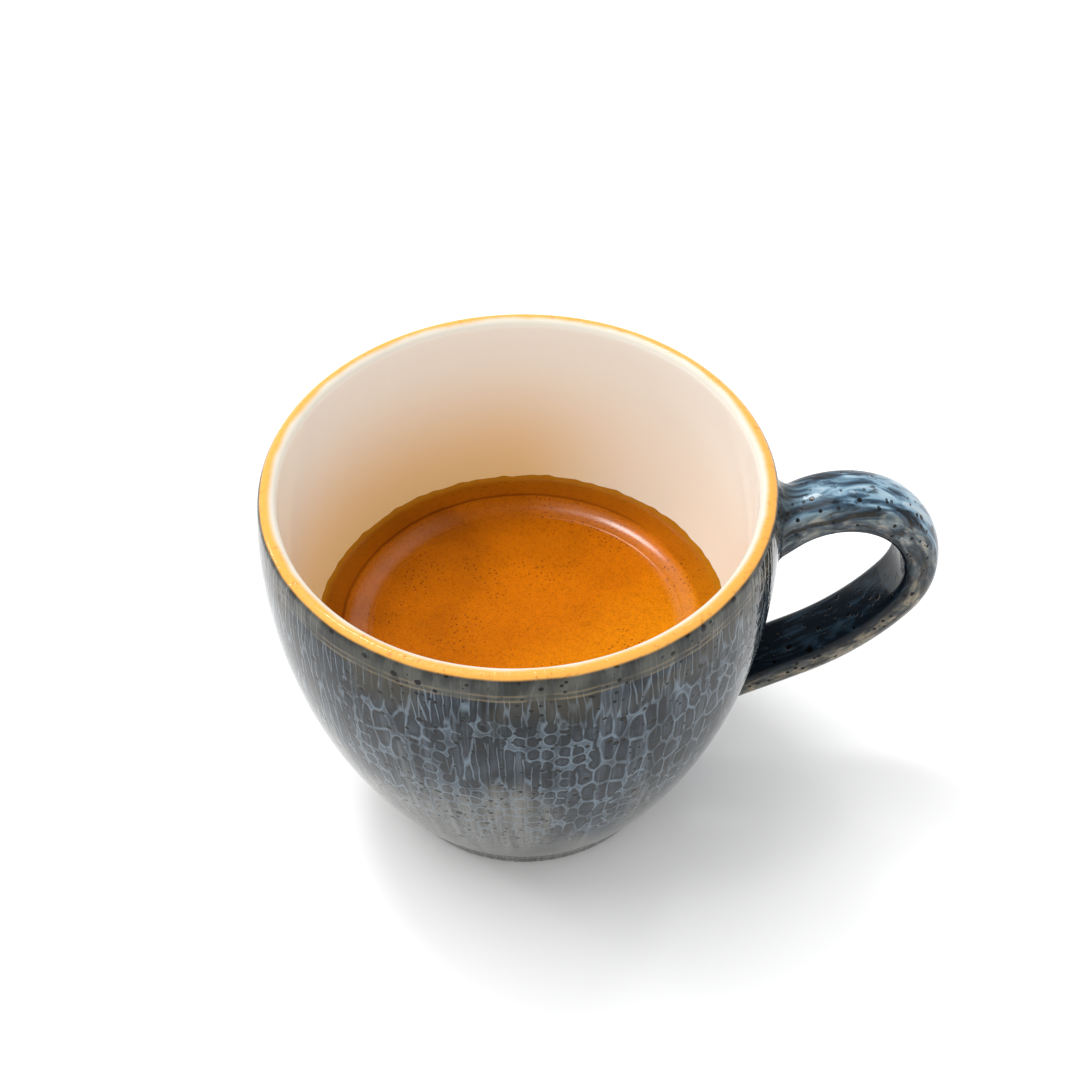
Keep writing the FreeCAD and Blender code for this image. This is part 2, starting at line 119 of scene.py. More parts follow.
class EspressoCup(bpy.types.PropertyGroup):
    """Sizes of the cup and its handle."""

    height: length("Height", "Foot to the top of the lip", CUP_HIGH.z)
    belly_radius: length("Belly radius", "Widest outer radius", CUP_HIGH.y)
    belly_drop: length("Belly drop", "Top of the lip down to the widest level", 7.2 * MM)
    shoulder_radius: length("Shoulder radius", "Arc from the belly in to the lip", 45 * MM)
    foot_radius: length("Foot radius", "Outer radius of the foot ring", 18.5 * MM)
    foot_height: length("Foot height", "Upright edge of the foot ring", 1.2 * MM)
    foot_ring: length("Foot ring", "Flat that the cup stands on", 3.1 * MM)
    foot_recess: length("Foot recess", "Depth of the base inside the ring", 0.9 * MM)
    foot_edge: length("Foot edge", "Rounding of the foot ring's edges", 0.4 * MM)
    wall_at_mouth: length("Wall at mouth", "Wall at the cavity's widest level", 2.8 * MM)
    wall_at_foot: length("Wall at foot", "Wall where the cavity's arc meets the foot level", 6.3 * MM)
    mouth_drop: length("Mouth drop", "Top of the lip down to the cavity's widest level", 4 * MM)
    floor_level: length("Floor level", "Foot to the cavity's floor", 6 * MM)
    floor_corner: length("Floor corner", "Arc between the cavity's floor and wall", 16 * MM)
    lip_round: length("Lip round", "Height of the rounded lip", 1.08 * MM)
    handle_width: length("Handle width", "Across the strap", 8.7 * MM)
    handle_thickness: length("Handle thickness", "Inner face to the crown", 5.1 * MM)
    handle_dome: length("Handle dome", "Radius of the crowned outer face", 7 * MM)
    handle_shoulder: length("Handle shoulder", "Radius between crown and side", 1.3 * MM)
    handle_corner: length("Handle corner", "Radius between side and inner face", 1.2 * MM)
    bend_radius: length("Bend radius", "Centreline of the handle's outer bend", 11.1 * MM)
    bend_level: length("Bend level", "Foot up to the middle of the bend", 35.6 * MM)
    sweep_radius: length("Sweep radius", "Centreline below the bend", 33 * MM)
    lower_tang: length("Lower tang", "Height of the lower run over the foot's edge", 10.6 * MM)
    upper_rise: angle("Upper rise", "Climb of the upper root away from the wall", 38.6)
    lower_rise: angle("Lower rise", "Climb of the lower run away from the wall", 23.6)
    root_round: length("Root round", "Fillet round each root of the handle", 2.0 * MM)
    root_least: length("Least set-back", "Least length of handle that a fillet takes", 0.9 * MM)
    root_most: length("Most set-back", "Most length of handle that a fillet takes", 3.1 * MM)


class EspressoGlaze(bpy.types.PropertyGroup):
    """Colours of the reactive glaze, outside and in."""

    slate: colour("Slate", "Body of the glaze", "#222b34")
    deep: colour("Deep", "Where the glaze is thick and dark", "#0c0f12")
    flow: colour("Flow", "Pale blue runs and net", "#74838f")
    ash: colour("Ash", "Grey glaze near the foot", "#72716d")
    ash_deep: colour("Ash deep", "Darker streaks in it", "#4c4c48")
    band: colour("Band", "Grey band under the lip", "#53534c")
    band_deep: colour("Band deep", "Darker clouds in it", "#2e302d")
    tan: colour("Tan", "Thin lines where two glazes meet", "#a48f6d")
    amber: colour("Amber", "Lip, where the glaze breaks to the body", "#e2a24a")
    rust: colour("Rust", "Burnt spots on the lip", "#a35f1c")
    # Navy is the handle's thick glaze, and also painted shade on its inner face and lower run.
    navy: colour("Navy", "Thick glaze on the handle", "#0f171e")
    steel: colour("Steel", "Glaze on the handle's crown", "#3b5366")
    sky: colour("Sky", "Blue runs on the handle", "#7896a8")
    pale: colour("Pale", "Palest runs on the handle", "#a0b5c1")
    iron: colour("Iron", "Specks and pinholes", "#060606")
    olive: colour("Olive", "Thin glaze at the handle's edges", "#5a5340")
    cream: colour("Cream", "Glaze inside the cup, near the lip", "#f3f3ec")
    # Honey is painted warm bounce light from the crema inside the cup, and the next colour is painted shade
    # on the lip's inner slope.
    honey: colour("Honey", "Glaze inside the cup, where it pooled lower down", "#e8c893")
    shaded_cream: colour("Thin cream", "Glaze inside the cup, thin on the lip's slope", "#d3cec2")


class EspressoCrema(bpy.types.PropertyGroup):
    """Sizes and colours of the coffee and its crema."""

    level: length("Level", "Foot to the flat middle of the crema", 27.5 * MM)
    pool_radius: length("Pool radius", "Flat middle, out to the fine ridge", 20.4 * MM)
    slope_width: length("Slope width", "Ridge out to the raised ring", 3.2 * MM)
    slope_rise: length("Slope rise", "Height of the slope", 0.45 * MM)
    meniscus_rise: length("Meniscus rise", "Ring up to where the crema wets the wall", 0.5 * MM)
    meniscus_width: length("Meniscus width", "Distance in which that rise falls to a third", 0.542 * MM)
    ridge_rise: length("Ridge rise", "Height of the fine ridge round the pool", 0.07 * MM)
    ridge_width: length("Ridge width", "Half its breadth", 0.22 * MM)
    groove_depth: length("Groove depth", "Depth of the fine groove on the raised ring", 0.045 * MM)
    groove_width: length("Groove width", "Half its breadth", 0.16 * MM)
    reach: length("Reach", "How far the coffee goes into the wall", 0.3 * MM)
    orange: colour("Orange", "Crema in the middle", "#bf6704")
    # Amber is painted light on the crema's lit front right; brown is denser foam and also painted shade on
    # its back left.
    amber: colour("Amber", "Crema on the side where it is thickest", "#d08207")
    brown: colour("Brown", "Denser crema", "#7c3f02")
    gold: colour("Gold", "Thin crema at its edge", "#a97012")
    fleck: colour("Fleck", "Pinholes and fine marks", "#5c2904")


class EspressoStage(bpy.types.PropertyGroup):
    """Camera and lights."""

    aim: bpy.props.FloatVectorProperty(
        name="Aim", description="Point that the camera looks at",
        default=(2.587 * MM, -0.199 * MM, 43.5 * MM), size=3, precision=5, subtype="TRANSLATION",
        unit="LENGTH")
    azimuth: angle("Azimuth", "Camera's turn round the cup, from the front", -4.4)
    elevation: angle("Elevation", "Camera's height above the horizon", 46.1)
    roll: angle("Roll", "Camera's turn about its own axis", -1.3)
    distance: length("Distance", "Camera to the aim", 325 * MM)
    lens: bpy.props.FloatProperty(
        name="Lens", description="Focal length on a 36 mm sensor", default=85.1, min=1.0, unit="CAMERA")
    floor: length("Floor", "Side of the square floor", 8.0)
    sky: bpy.props.FloatProperty(
        name="Sky", description="Strength of the even light from all round", default=1.0, min=0.0,
        subtype="FACTOR")
    key: bpy.props.FloatProperty(
        name="Key", description="Power of the large softbox behind the cup's left", default=72.0, min=0.0,
        unit="POWER")
    panel: bpy.props.FloatProperty(
        name="Panel", description="Power of the small bright panel behind the cup", default=12.0, min=0.0,
        unit="POWER")
    low: bpy.props.FloatProperty(
        name="Low", description="Power of the small panel low on its left", default=5.0, min=0.0,
        unit="POWER")
    fill: bpy.props.FloatProperty(
        name="Fill", description="Power of the small panel behind its right", default=2.5, min=0.0,
        unit="POWER")


# ---- shapes --------------------------------------------------------------------------------------

def arc_radius(inset, drop):
    """Radius of an arc that leaves a level upright and comes in by inset over a drop."""
    return (inset ** 2 + drop ** 2) / (2 * inset)


def outer_radius(cup, height):
    """Radius of the cup's outside: two arcs that meet upright at the belly, the flank's below and the
    shoulder's above."""
    belly = cup.height - cup.belly_drop
    flank = arc_radius(cup.belly_radius - cup.foot_radius, belly - cup.foot_height)
    radius = np.where(height < belly, flank, cup.shoulder_radius)
    return cup.belly_radius - radius + np.sqrt(radius ** 2 - (height - belly) ** 2)


def cavity_arc(cup):
    """Centre radius, centre height and radius of the arc of the cavity's wall."""
    mouth = cup.height - cup.mouth_drop
    inset = cup.belly_radius - cup.wall_at_mouth - cup.foot_radius + cup.wall_at_foot
    radius = arc_radius(inset, mouth - cup.foot_height)
    return cup.belly_radius - cup.wall_at_mouth - radius, mouth, radius


def cavity_radius(cup, height):
    """Radius of the cavity's wall: upright above the mouth level, then an arc that comes in."""
    centre, mouth, radius = cavity_arc(cup)
    return centre + np.sqrt(radius ** 2 - np.minimum(height - mouth, 0) ** 2)


def cavity_floor(cup, offset):
    """Rows (radius, height) down the cavity's wall from its arc's end, round the corner and across the
    floor to the axis: the corner's circle touches both the floor and the wall's arc from inside, and
    offset moves the whole line into the wall."""
    centre, mouth, radius = cavity_arc(cup)
    rise = mouth - cup.floor_level - cup.floor_corner
    corner = centre + math.sqrt((radius - cup.floor_corner) ** 2 - rise ** 2)
    meet = math.asin(rise / (radius - cup.floor_corner))
    turn = np.linspace(-meet, -math.pi / 2, CORNER_ROWS)
    round_radius = cup.floor_corner + offset
    rows_r = corner + round_radius * np.cos(turn)
    rows_z = cup.floor_level + cup.floor_corner + round_radius * np.sin(turn)
    inward = np.linspace(rows_r[-1], 0, FLOOR_ROWS + 1)[1:]
    return np.append(rows_r, inward), np.append(rows_z, np.full(FLOOR_ROWS, rows_z[-1]))


def window_levels(cup):
    """Lowest and highest height of the wall's two windows, the lower root's and the upper root's."""
    upper = cup.height - UPPER_WINDOW_DROP - WINDOW_SPAN
    return (LOWER_WINDOW, LOWER_WINDOW + WINDOW_SPAN), (upper, upper + WINDOW_SPAN)


def cup_outline(cup):
    """Rows (radius, height) of the cup's half outline, from the middle of its underside round the foot,
    up the outside, over the lip and down the cavity to the middle of its floor. The foot's inner edge is
    a quarter circle, and its outer edge is a quadratic curve from the flat up to the flank. The outside
    follows outer_radius, and the lip is half an ellipse sheared to leave the shoulder in its own
    direction. Also returns the first rows of the two windows."""
    ring, edge = cup.foot_radius - cup.foot_ring, cup.foot_edge
    recess = np.stack([np.linspace(0, ring - edge, RECESS_ROWS), np.full(RECESS_ROWS, cup.foot_recess)])
    recess_side = np.stack([[ring, ring], [cup.foot_recess, cup.foot_recess * 2 / 3]])
    quarter = np.linspace(0, math.pi / 2, EDGE_ROWS)
    inner_edge = np.stack([ring + edge - edge * np.cos(quarter), edge - edge * np.sin(quarter)])
    roll_top = 2 * cup.foot_height
    t = np.linspace(0, 1, ROLL_ROWS, endpoint=False)
    corner = np.array([[cup.foot_radius], [0.0]])
    outer_edge = ((1 - t) ** 2 * (corner - [[edge], [0]]) + 2 * t * (1 - t) * corner
                  + t ** 2 * np.array([[float(outer_radius(cup, roll_top))], [roll_top]]))

    (low, low_top), (high, high_top) = window_levels(cup)
    lip_foot = cup.height - cup.lip_round
    spans = ((roll_top, low, BELOW_ROWS), (low, low_top, WINDOW_ROWS), (low_top, high, BETWEEN_ROWS),
             (high, high_top, WINDOW_ROWS), (high_top, lip_foot, ABOVE_ROWS))
    heights = np.concatenate([np.linspace(a, b, n, endpoint=False) for a, b, n in spans])
    outside = np.stack([outer_radius(cup, heights), heights])

    belly = cup.height - cup.belly_drop
    outer, inner = outer_radius(cup, lip_foot), cavity_radius(cup, lip_foot)
    lean = (lip_foot - belly) / (outer - cup.belly_radius + cup.shoulder_radius)
    turn = np.linspace(0, math.pi, LIP_ROWS)
    rise = cup.lip_round * np.sin(turn)
    middle, half = (outer + inner) / 2, (outer - inner) / 2
    lip = np.stack([middle + half * np.cos(turn) - lean * rise * (1 + np.cos(turn)) / 2, lip_foot + rise])

    floor = np.stack(cavity_floor(cup, 0))
    upper_wall = np.linspace(lip_foot, COARSE_LEVEL, WALL_ROWS)[1:]
    lower_wall = np.linspace(COARSE_LEVEL, floor[1, 0], COARSE_ROWS)[1:-1]
    wall_z = np.append(upper_wall, lower_wall)
    wall = np.stack([cavity_radius(cup, wall_z), wall_z])

    foot = np.concatenate([recess, recess_side, inner_edge, outer_edge], axis=1)
    rows = np.concatenate([foot, outside, lip, wall, floor], axis=1)
    first = foot.shape[1] + BELOW_ROWS
    return rows[0], rows[1], first, first + WINDOW_ROWS + BETWEEN_ROWS


def run_length(rows_r, rows_z):
    """Running length along an outline."""
    return np.append(0, np.cumsum(np.hypot(np.diff(rows_r), np.diff(rows_z))))


def revolved_faces(rows, columns, window=None):
    """Faces of a sheet turned about the axis. Rows run along its outline and are closed round, and the
    first and last row are single points. window marks the quads that are left out."""
    row = np.arange(rows - 3)[:, None]
    column = np.arange(columns)[None, :]
    after = (column + 1) % columns
    here, above = 1 + row * columns, 1 + (row + 1) * columns
    quads = np.stack([here + column, here + after, above + after, above + column], axis=-1)
    keep = np.ones(quads.shape[:2], bool) if window is None else ~window
    start, last = 1, 1 + (rows - 3) * columns
    tip = last + columns
    bottom = np.stack([np.zeros_like(column[0]), start + after[0], start + column[0]], axis=-1)
    top = np.stack([last + column[0], last + after[0], np.full_like(column[0], tip)], axis=-1)
    return quads[keep], np.concatenate([bottom, top])


def halved(inside, low, high):
    """Where a whole array of functions turns from inside to outside, found by halving their spans."""
    low, high = np.array(low, float), np.array(high, float)
    for _ in range(HALVINGS):
        middle = (low + high) / 2
        within = inside(middle)
        low, high = np.where(within, middle, low), np.where(within, high, middle)
    return (low + high) / 2


def window_loop():
    """The rim of a window as fractions across (-1 to 1, the way the angle grows) and from the handle's
    inner face to its crown (-1 to 1). It runs along the inner face, one side, the crown, and back."""
    across = np.linspace(-1, 1, WINDOW_COLUMNS + 1)[:-1]
    along = np.linspace(-1, 1, WINDOW_ROWS + 1)[:-1]
    side = np.ones(WINDOW_ROWS)
    edge = np.ones(WINDOW_COLUMNS)
    return (np.concatenate([across, side, -across, -side]),
            np.concatenate([-edge, along, edge, -along]))


def strap_section(cup):
    """Points (across, towards the crown) of the handle's section, one for each point of window_loop.
    The section is what a flat inner face, two sides and a crowned outer face enclose, with rounded
    corners: two distances a and b are joined by the longer one, rounded where both are near zero. Each
    point is where a ray from the middle leaves it."""
    across, towards = window_loop()
    ray = np.stack([across * cup.handle_width / 2, towards * cup.handle_thickness / 2])

    def joined(a, b, radius):
        return (np.minimum(np.maximum(a, b), -radius)
                + np.hypot(np.maximum(a + radius, 0), np.maximum(b + radius, 0)))

    def inside(scale):
        y, n = ray * scale
        side = np.abs(y) - cup.handle_width / 2
        inner = -n - cup.handle_thickness / 2
        crown = np.hypot(y, n + cup.handle_dome - cup.handle_thickness / 2) - cup.handle_dome
        box = joined(side, inner, cup.handle_corner)
        return joined(box, crown, cup.handle_shoulder) < 0

    return ray * halved(inside, np.zeros(ray.shape[1]), np.full(ray.shape[1], 2.0))


def strap_line(cup):
    """The handle's centreline as dense arrays: length run, x, z and heading. The heading stays level
    along the two straight runs and turns evenly along the bend and the sweep, and the place is the
    running sum of short steps along it. The sweep's centre is where both arcs share their end point
    and the sweep touches the lower run, a straight line over the foot's edge."""
    bend_x = CUP_HIGH.x - cup.handle_thickness / 2 - cup.bend_radius
    down = np.array([-math.sin(cup.lower_rise), math.cos(cup.lower_rise)])
    off_line = (bend_x - cup.foot_radius) * down[0] + (cup.bend_level - cup.lower_tang) * down[1]
    shift = (off_line - cup.sweep_radius) / (cup.sweep_radius - cup.bend_radius)
    join = math.pi / 2 + cup.lower_rise - math.acos(shift)
    headings = (cup.upper_rise, cup.upper_rise, join - math.pi / 2, cup.lower_rise - math.pi,
                cup.lower_rise - math.pi)
    spans = (LEAD, cup.bend_radius * (cup.upper_rise + math.pi / 2 - join),
             cup.sweep_radius * (join + math.pi / 2 - cup.lower_rise), TAIL)
    knots = np.append(0, np.cumsum(spans))
    run = np.linspace(0, knots[-1], LINE_POINTS)
    heading = np.interp(run, knots, headings)
    step = run[1]
    middle = (heading[1:] + heading[:-1]) / 2
    start_turn = cup.upper_rise + math.pi / 2
    start_x = bend_x + cup.bend_radius * math.cos(start_turn) - LEAD * math.cos(cup.upper_rise)
    start_z = cup.bend_level + cup.bend_radius * math.sin(start_turn) - LEAD * math.sin(cup.upper_rise)
    x = start_x + np.append(0, np.cumsum(np.cos(middle))) * step
    z = start_z + np.append(0, np.cumsum(np.sin(middle))) * step
    return run, x, z, heading


def strap_point(line, section, run):
    """Points of the handle's surface at lengths run: the section's points set square to the heading.
    Also returns the heading as a direction."""
    x, z = np.interp(run, line[0], line[1]), np.interp(run, line[0], line[2])
    heading = np.interp(run, line[0], line[3])
    y, n = section
    point = np.stack([x - n * np.sin(heading), y + 0 * x, z + n * np.cos(heading)], axis=-1)
    return point, np.stack([np.cos(heading), 0 * x, np.sin(heading)], axis=-1)


def wall_gap(cup, point):
    """How far points are outside the cup's wall, measured level."""
    return np.hypot(point[..., 0], point[..., 1]) - outer_radius(cup, point[..., 2])


def root_rings(cup, line, section, end):
    """One root of the handle as rings of points from the wall (first) to the strap (last), and the run
    where each point joins the strap. Each of the section's points leaves the strap at A, where its line
    is a set-back away from the wall. B is where the heading at A, carried back, meets the wall, and C
    lies on the wall as far beyond B. The ring points follow the circular arc that touches AB and BC, a
    quadratic curve whose middle weight is the sine of half the angle at B. The set-back is that of a
    fillet of root_round, held to a few millimetres in the narrow corner."""
    dense = line[0][::end * LINE_STRIDE][:, None]
    grid, _ = strap_point(line, section, dense)
    first = np.argmax(wall_gap(cup, grid) > 0, axis=0)
    crossing = dense[first, 0]
    point, heading = strap_point(line, section, crossing)
    outward = end * heading
    side = point - strap_point(line, np.zeros_like(section), crossing)[0]

    def along_wall(place, direction):
        radius = np.hypot(place[:, 0], place[:, 1])
        step = MM / 10
        slope = (outer_radius(cup, place[:, 2] + step) - outer_radius(cup, place[:, 2])) / step
        normal = np.stack([place[:, 0] / radius, place[:, 1] / radius, -slope], axis=-1)
        normal /= np.linalg.norm(normal, axis=1, keepdims=True)
        flat = direction - (direction * normal).sum(1, keepdims=True) * normal
        return flat / np.linalg.norm(flat, axis=1, keepdims=True)

    def half_angle(away, out):
        return np.arccos(np.clip((away * out).sum(1), -1, 1)) / 2

    opening = half_angle(along_wall(point, side), outward)
    set_back = np.clip(cup.root_round / np.tan(opening), cup.root_least, cup.root_most)
    join = crossing + end * set_back
    a, heading = strap_point(line, section, join)
    outward = end * heading
    back = halved(lambda d: wall_gap(cup, a - outward * d[:, None]) > 0, 0 * join,
                  np.full_like(join, REACH_BACK))
    b = a - outward * back[:, None]
    away = along_wall(b, side)
    beyond = b + away * back[:, None]
    turn = np.arctan2(beyond[:, 1], beyond[:, 0])
    radius = outer_radius(cup, beyond[:, 2])
    c = np.stack([radius * np.cos(turn), radius * np.sin(turn), beyond[:, 2]], axis=-1)
    chord = (c - b) / np.linalg.norm(c - b, axis=1, keepdims=True)
    weight = np.sin(half_angle(chord, outward))[None, :, None]
    t = np.linspace(0, 1, FILLET_RINGS)[:, None, None]
    share = (1 - t) ** 2 + 2 * weight * t * (1 - t) + t ** 2
    rings = ((1 - t) ** 2 * c + 2 * weight * t * (1 - t) * b + t ** 2 * a) / share
    return rings, join


def collar_rings(cup, loop, rim):
    """Rings on the wall between a window's loop and the rim of the handle's fillet: angle and height
    go evenly from one to the other, and the radius is the wall's."""
    def unrolled(points):
        return np.stack([np.arctan2(points[:, 1], points[:, 0]), points[:, 2]])

    outer, inner = unrolled(loop), unrolled(rim)
    t = np.linspace(0, 1, COLLAR_RINGS)[1:-1, None, None]
    turn, height = np.moveaxis(outer + (inner - outer) * t, 1, 0)
    radius = outer_radius(cup, height)
    return np.stack([radius * np.cos(turn), radius * np.sin(turn), height], axis=-1)


def window_vertices(first, lower):
    """Vertex numbers of a window's rim in the lathe's sheet, in the order of window_loop. The handle's
    inner face is towards the belly at the lower root and towards the foot at the upper one."""
    across, towards = window_loop()
    middle = COLUMNS // 2
    column = middle + np.rint(across * WINDOW_COLUMNS / 2).astype(int)
    if lower:
        towards = -towards
    row = first + np.rint((towards + 1) / 2 * WINDOW_ROWS).astype(int)
    return 1 + (row - 1) * COLUMNS + column


def put_mesh(name, points, faces, attributes, uv, material):
    """A smooth mesh object at the origin from arrays: points, lists of faces, vectors or numbers for
    each vertex, and a flat place for each vertex, whose seam is closed face by face."""
    mesh = bpy.data.meshes.new(name)
    mesh.from_pydata(points.tolist(), [], [f for group in faces for f in group.tolist()])
    for key, values in attributes.items():
        kind, field = ("FLOAT_VECTOR", "vector") if values.ndim == 2 else ("FLOAT", "value")
        layer = mesh.attributes.new(key, kind, "POINT")
        layer.data.foreach_set(field, values.astype(np.float32).ravel())
    if uv is not None:
        places, period = uv
        corners = [places[group] for group in faces]
        for group in corners:
            across = group[..., 0]
            across += np.where(across.max(1, keepdims=True) - across > period / 2, period, 0)
        flat = np.concatenate([group.reshape(-1, 2) for group in corners])
        mesh.uv_layers.new(name="Glaze").data.foreach_set("uv", flat.astype(np.float32).ravel())
    mesh.polygons.foreach_set("use_smooth", np.ones(len(mesh.polygons), bool))
    mesh.materials.append(material)
    mesh.validate()
    mesh.update()
    made = bpy.data.objects.new(name, mesh)
    bpy.context.scene.collection.objects.link(made)
    return made


def cup_mesh(cup):
    """The cup in one closed sheet. The bowl is cup_outline turned about the axis with two windows, and
    the handle is one grid of rings from window to window: collar on the wall, fillet, strap, fillet,
    collar. Returns points, faces and the values that the glaze is laid on by."""
    rows_r, rows_z, low_first, high_first = cup_outline(cup)
    rows = len(rows_r)
    turn = np.linspace(-math.pi, math.pi, COLUMNS, endpoint=False)
    body_r, body_z = rows_r[1:-1, None], rows_z[1:-1, None]
    sheet = np.stack([body_r * np.cos(turn), body_r * np.sin(turn), body_z + 0 * turn], axis=-1)
    bowl = np.concatenate([[[0, 0, rows_z[0]]], sheet.reshape(-1, 3), [[0, 0, rows_z[-1]]]])
    window = np.zeros((rows - 3, COLUMNS), bool)
    middle, half = COLUMNS // 2, WINDOW_COLUMNS // 2
    for first in (low_first, high_first):
        window[first - 1:first - 1 + WINDOW_ROWS, middle - half:middle + half] = True
    quads, tips = revolved_faces(rows, COLUMNS, window)

    line, section = strap_line(cup), strap_section(cup)
    upper_loop = window_vertices(high_first, False)
    lower_loop = window_vertices(low_first, True)
    upper, start = root_rings(cup, line, section, 1)
    lower, stop = root_rings(cup, line, section, -1)
    t = np.linspace(0, 1, STRAP_RINGS)[1:-1, None]
    run = start + (stop - start) * t
    strap, _ = strap_point(line, section, run)
    rings = np.concatenate([collar_rings(cup, bowl[upper_loop], upper[0]), upper, strap, lower[::-1],
                            collar_rings(cup, bowl[lower_loop], lower[0])[::-1]])
    count, round_count = rings.shape[:2]
    number = len(bowl) + np.arange(count * round_count).reshape(count, round_count)
    grid = np.concatenate([upper_loop[None], number, lower_loop[None]])
    after = np.roll(grid, -1, axis=1)
    strip = np.stack([grid[:-1], after[:-1], after[1:], grid[1:]], axis=-1).reshape(-1, 4)

    points = np.concatenate([bowl, rings.reshape(-1, 3)])
    from_lip = run_length(rows_r, rows_z)
    from_lip -= from_lip[np.argmax(rows_z)]
    outside = slice(low_first, np.argmax(rows_z))
    lip = np.concatenate([from_lip[:1], np.repeat(from_lip[1:-1], COLUMNS), from_lip[-1:],
                          np.interp(rings[..., 2].ravel(), rows_z[outside], from_lip[outside])])
    collar = COLLAR_RINGS - 2
    root_count = collar + FILLET_RINGS
    weight = np.ones(count)
    weight[:root_count] = np.append(np.zeros(collar), np.linspace(0, 1, FILLET_RINGS))
    weight[-root_count:] = weight[root_count - 1::-1]
    root = np.append(np.zeros(len(bowl)), np.repeat(weight, round_count))
    length_run = np.concatenate([np.tile(start, (root_count, 1)), run, np.tile(stop, (root_count, 1))])
    flat = np.broadcast_to(section.T, (count, round_count, 2))
    strap_place = np.concatenate([flat, length_run[..., None]], axis=-1).reshape(-1, 3)
    strap_place = np.concatenate([np.zeros((len(bowl), 3)), strap_place])

    used = np.zeros(len(points), bool)
    for group in (quads, tips, strip):
        used[group] = True
    renumber = np.cumsum(used) - 1
    faces = [renumber[quads], renumber[strip], renumber[tips]]
    return points[used], faces, lip[used], root[used], strap_place[used]


def wave(turn, parts):
    """A closed wave round the cup in millimetres: the sum of cosines given as (turns, height, phase)."""
    return MM * sum(high * np.cos(count * turn + phase) for count, high, phase in parts)


def coffee_mesh(cup, crema):
    """The coffee as a closed sheet turned about the axis: floor, wall and top. The wall follows the
    cavity, set into it by reach. The top is level in its middle, then a fine ridge, a slope up to a
    raised ring, a fine groove and the meniscus. The ridge, ring and wetting line each wander with the
    angle by a closed wave, so height is a function of radius and angle. Returns points, faces and each
    point's distance from the wetting line."""
    turn = np.linspace(-math.pi, math.pi, COLUMNS, endpoint=False)
    floor_r, floor_z = cavity_floor(cup, crema.reach)
    floor_r, floor_z = floor_r[::-1, None] + 0 * turn, floor_z[::-1, None] + 0 * turn
    wander = ((1, 0.22, -0.6), (2, 0.12, 1.1))
    ragged = ((9, 0.05, 0.4), (17, 0.05, 2.0), (31, 0.05, 0.9), (53, 0.05, 4.1), (83, 0.035, 1.0))
    wet = crema.level + crema.slope_rise + crema.meniscus_rise + wave(turn, wander + ragged)
    share = np.linspace(0, 1, COFFEE_WALL_ROWS)[1:, None]
    wall_z = floor_z[-1] + (wet - floor_z[-1]) * share
    wall_r = cavity_radius(cup, wall_z) + crema.reach
    rim = cavity_radius(cup, wet)

    pool = crema.pool_radius + wave(turn, ((1, 0.7, 0.5), (2, 0.25, 0.3), (3, 0.15, 2.2)))
    ring = pool + crema.slope_width + wave(turn, ((1, 0.25, 2.4), (3, 0.12, 0.5)))
    inward = [np.linspace(start, end, rows, endpoint=False) for start, end, rows in TOP_SPANS]
    top_r = rim * (1 - np.concatenate(inward))[:, None]
    from_rim = rim - top_r

    def bell(place, width):
        return np.exp(-((top_r - place) / width) ** 2)

    step = np.clip((top_r - pool) / (ring - pool), 0, 1)
    slope = crema.slope_rise * step * step * (3 - 2 * step)
    meniscus = (wet - crema.level - crema.slope_rise) * np.exp(-from_rim / crema.meniscus_width)
    top_z = (crema.level + slope + meniscus + crema.ridge_rise * bell(pool, crema.ridge_width)
             - crema.groove_depth * bell(ring, crema.groove_width))
    rows_r = np.concatenate([floor_r[1:], wall_r, top_r])
    rows_z = np.concatenate([floor_z[1:], wall_z, top_z])
    sheet = np.stack([rows_r * np.cos(turn), rows_r * np.sin(turn), rows_z], axis=-1)
    points = np.concatenate([[[0, 0, floor_z[0, 0]]], sheet.reshape(-1, 3), [[0, 0, crema.level]]])
    from_wall = np.zeros(len(points))
    from_wall[-from_rim.size - 1:] = np.append(from_rim, crema.pool_radius)
    return points, revolved_faces(len(rows_r) + 2, COLUMNS), from_wall


# ---- materials -----------------------------------------------------------------------------------

SMOOTH = {"interpolation_type": "SMOOTHSTEP"}  # a Map Range node that eases in and out
COLOURS = {"data_type": "RGBA", "out": 2}  # a Mix node for colours, and the output that holds them


def add(tree, kind, inputs=None, out=0, stops=None, **settings):
    """Adds a node, sets its properties and its ramp's stops, fills its inputs by name or number with
    values or with sockets of other nodes, and returns one of its outputs."""
    made = tree.nodes.new(kind)
    for name, value in settings.items():
        setattr(made, name, value)
    if stops:
        ramp = made.color_ramp
        while len(ramp.elements) < len(stops):
            ramp.elements.new(1.0)
        for element, (place, shade) in zip(ramp.elements, stops):
            element.position = place
            element.color = shade
    for key, value in (inputs or {}).items():
        if isinstance(value, bpy.types.NodeSocket):
            tree.links.new(value, made.inputs[key])
        else:
            made.inputs[key].default_value = value
    return made.outputs[out]


def new_material(name):
    """An empty node material, its tree and its output's surface socket."""
    material = bpy.data.materials.new(name)
    material.use_nodes = True
    tree = material.node_tree
    tree.nodes.clear()
    return material, tree, tree.nodes.new("ShaderNodeOutputMaterial").inputs["Surface"]


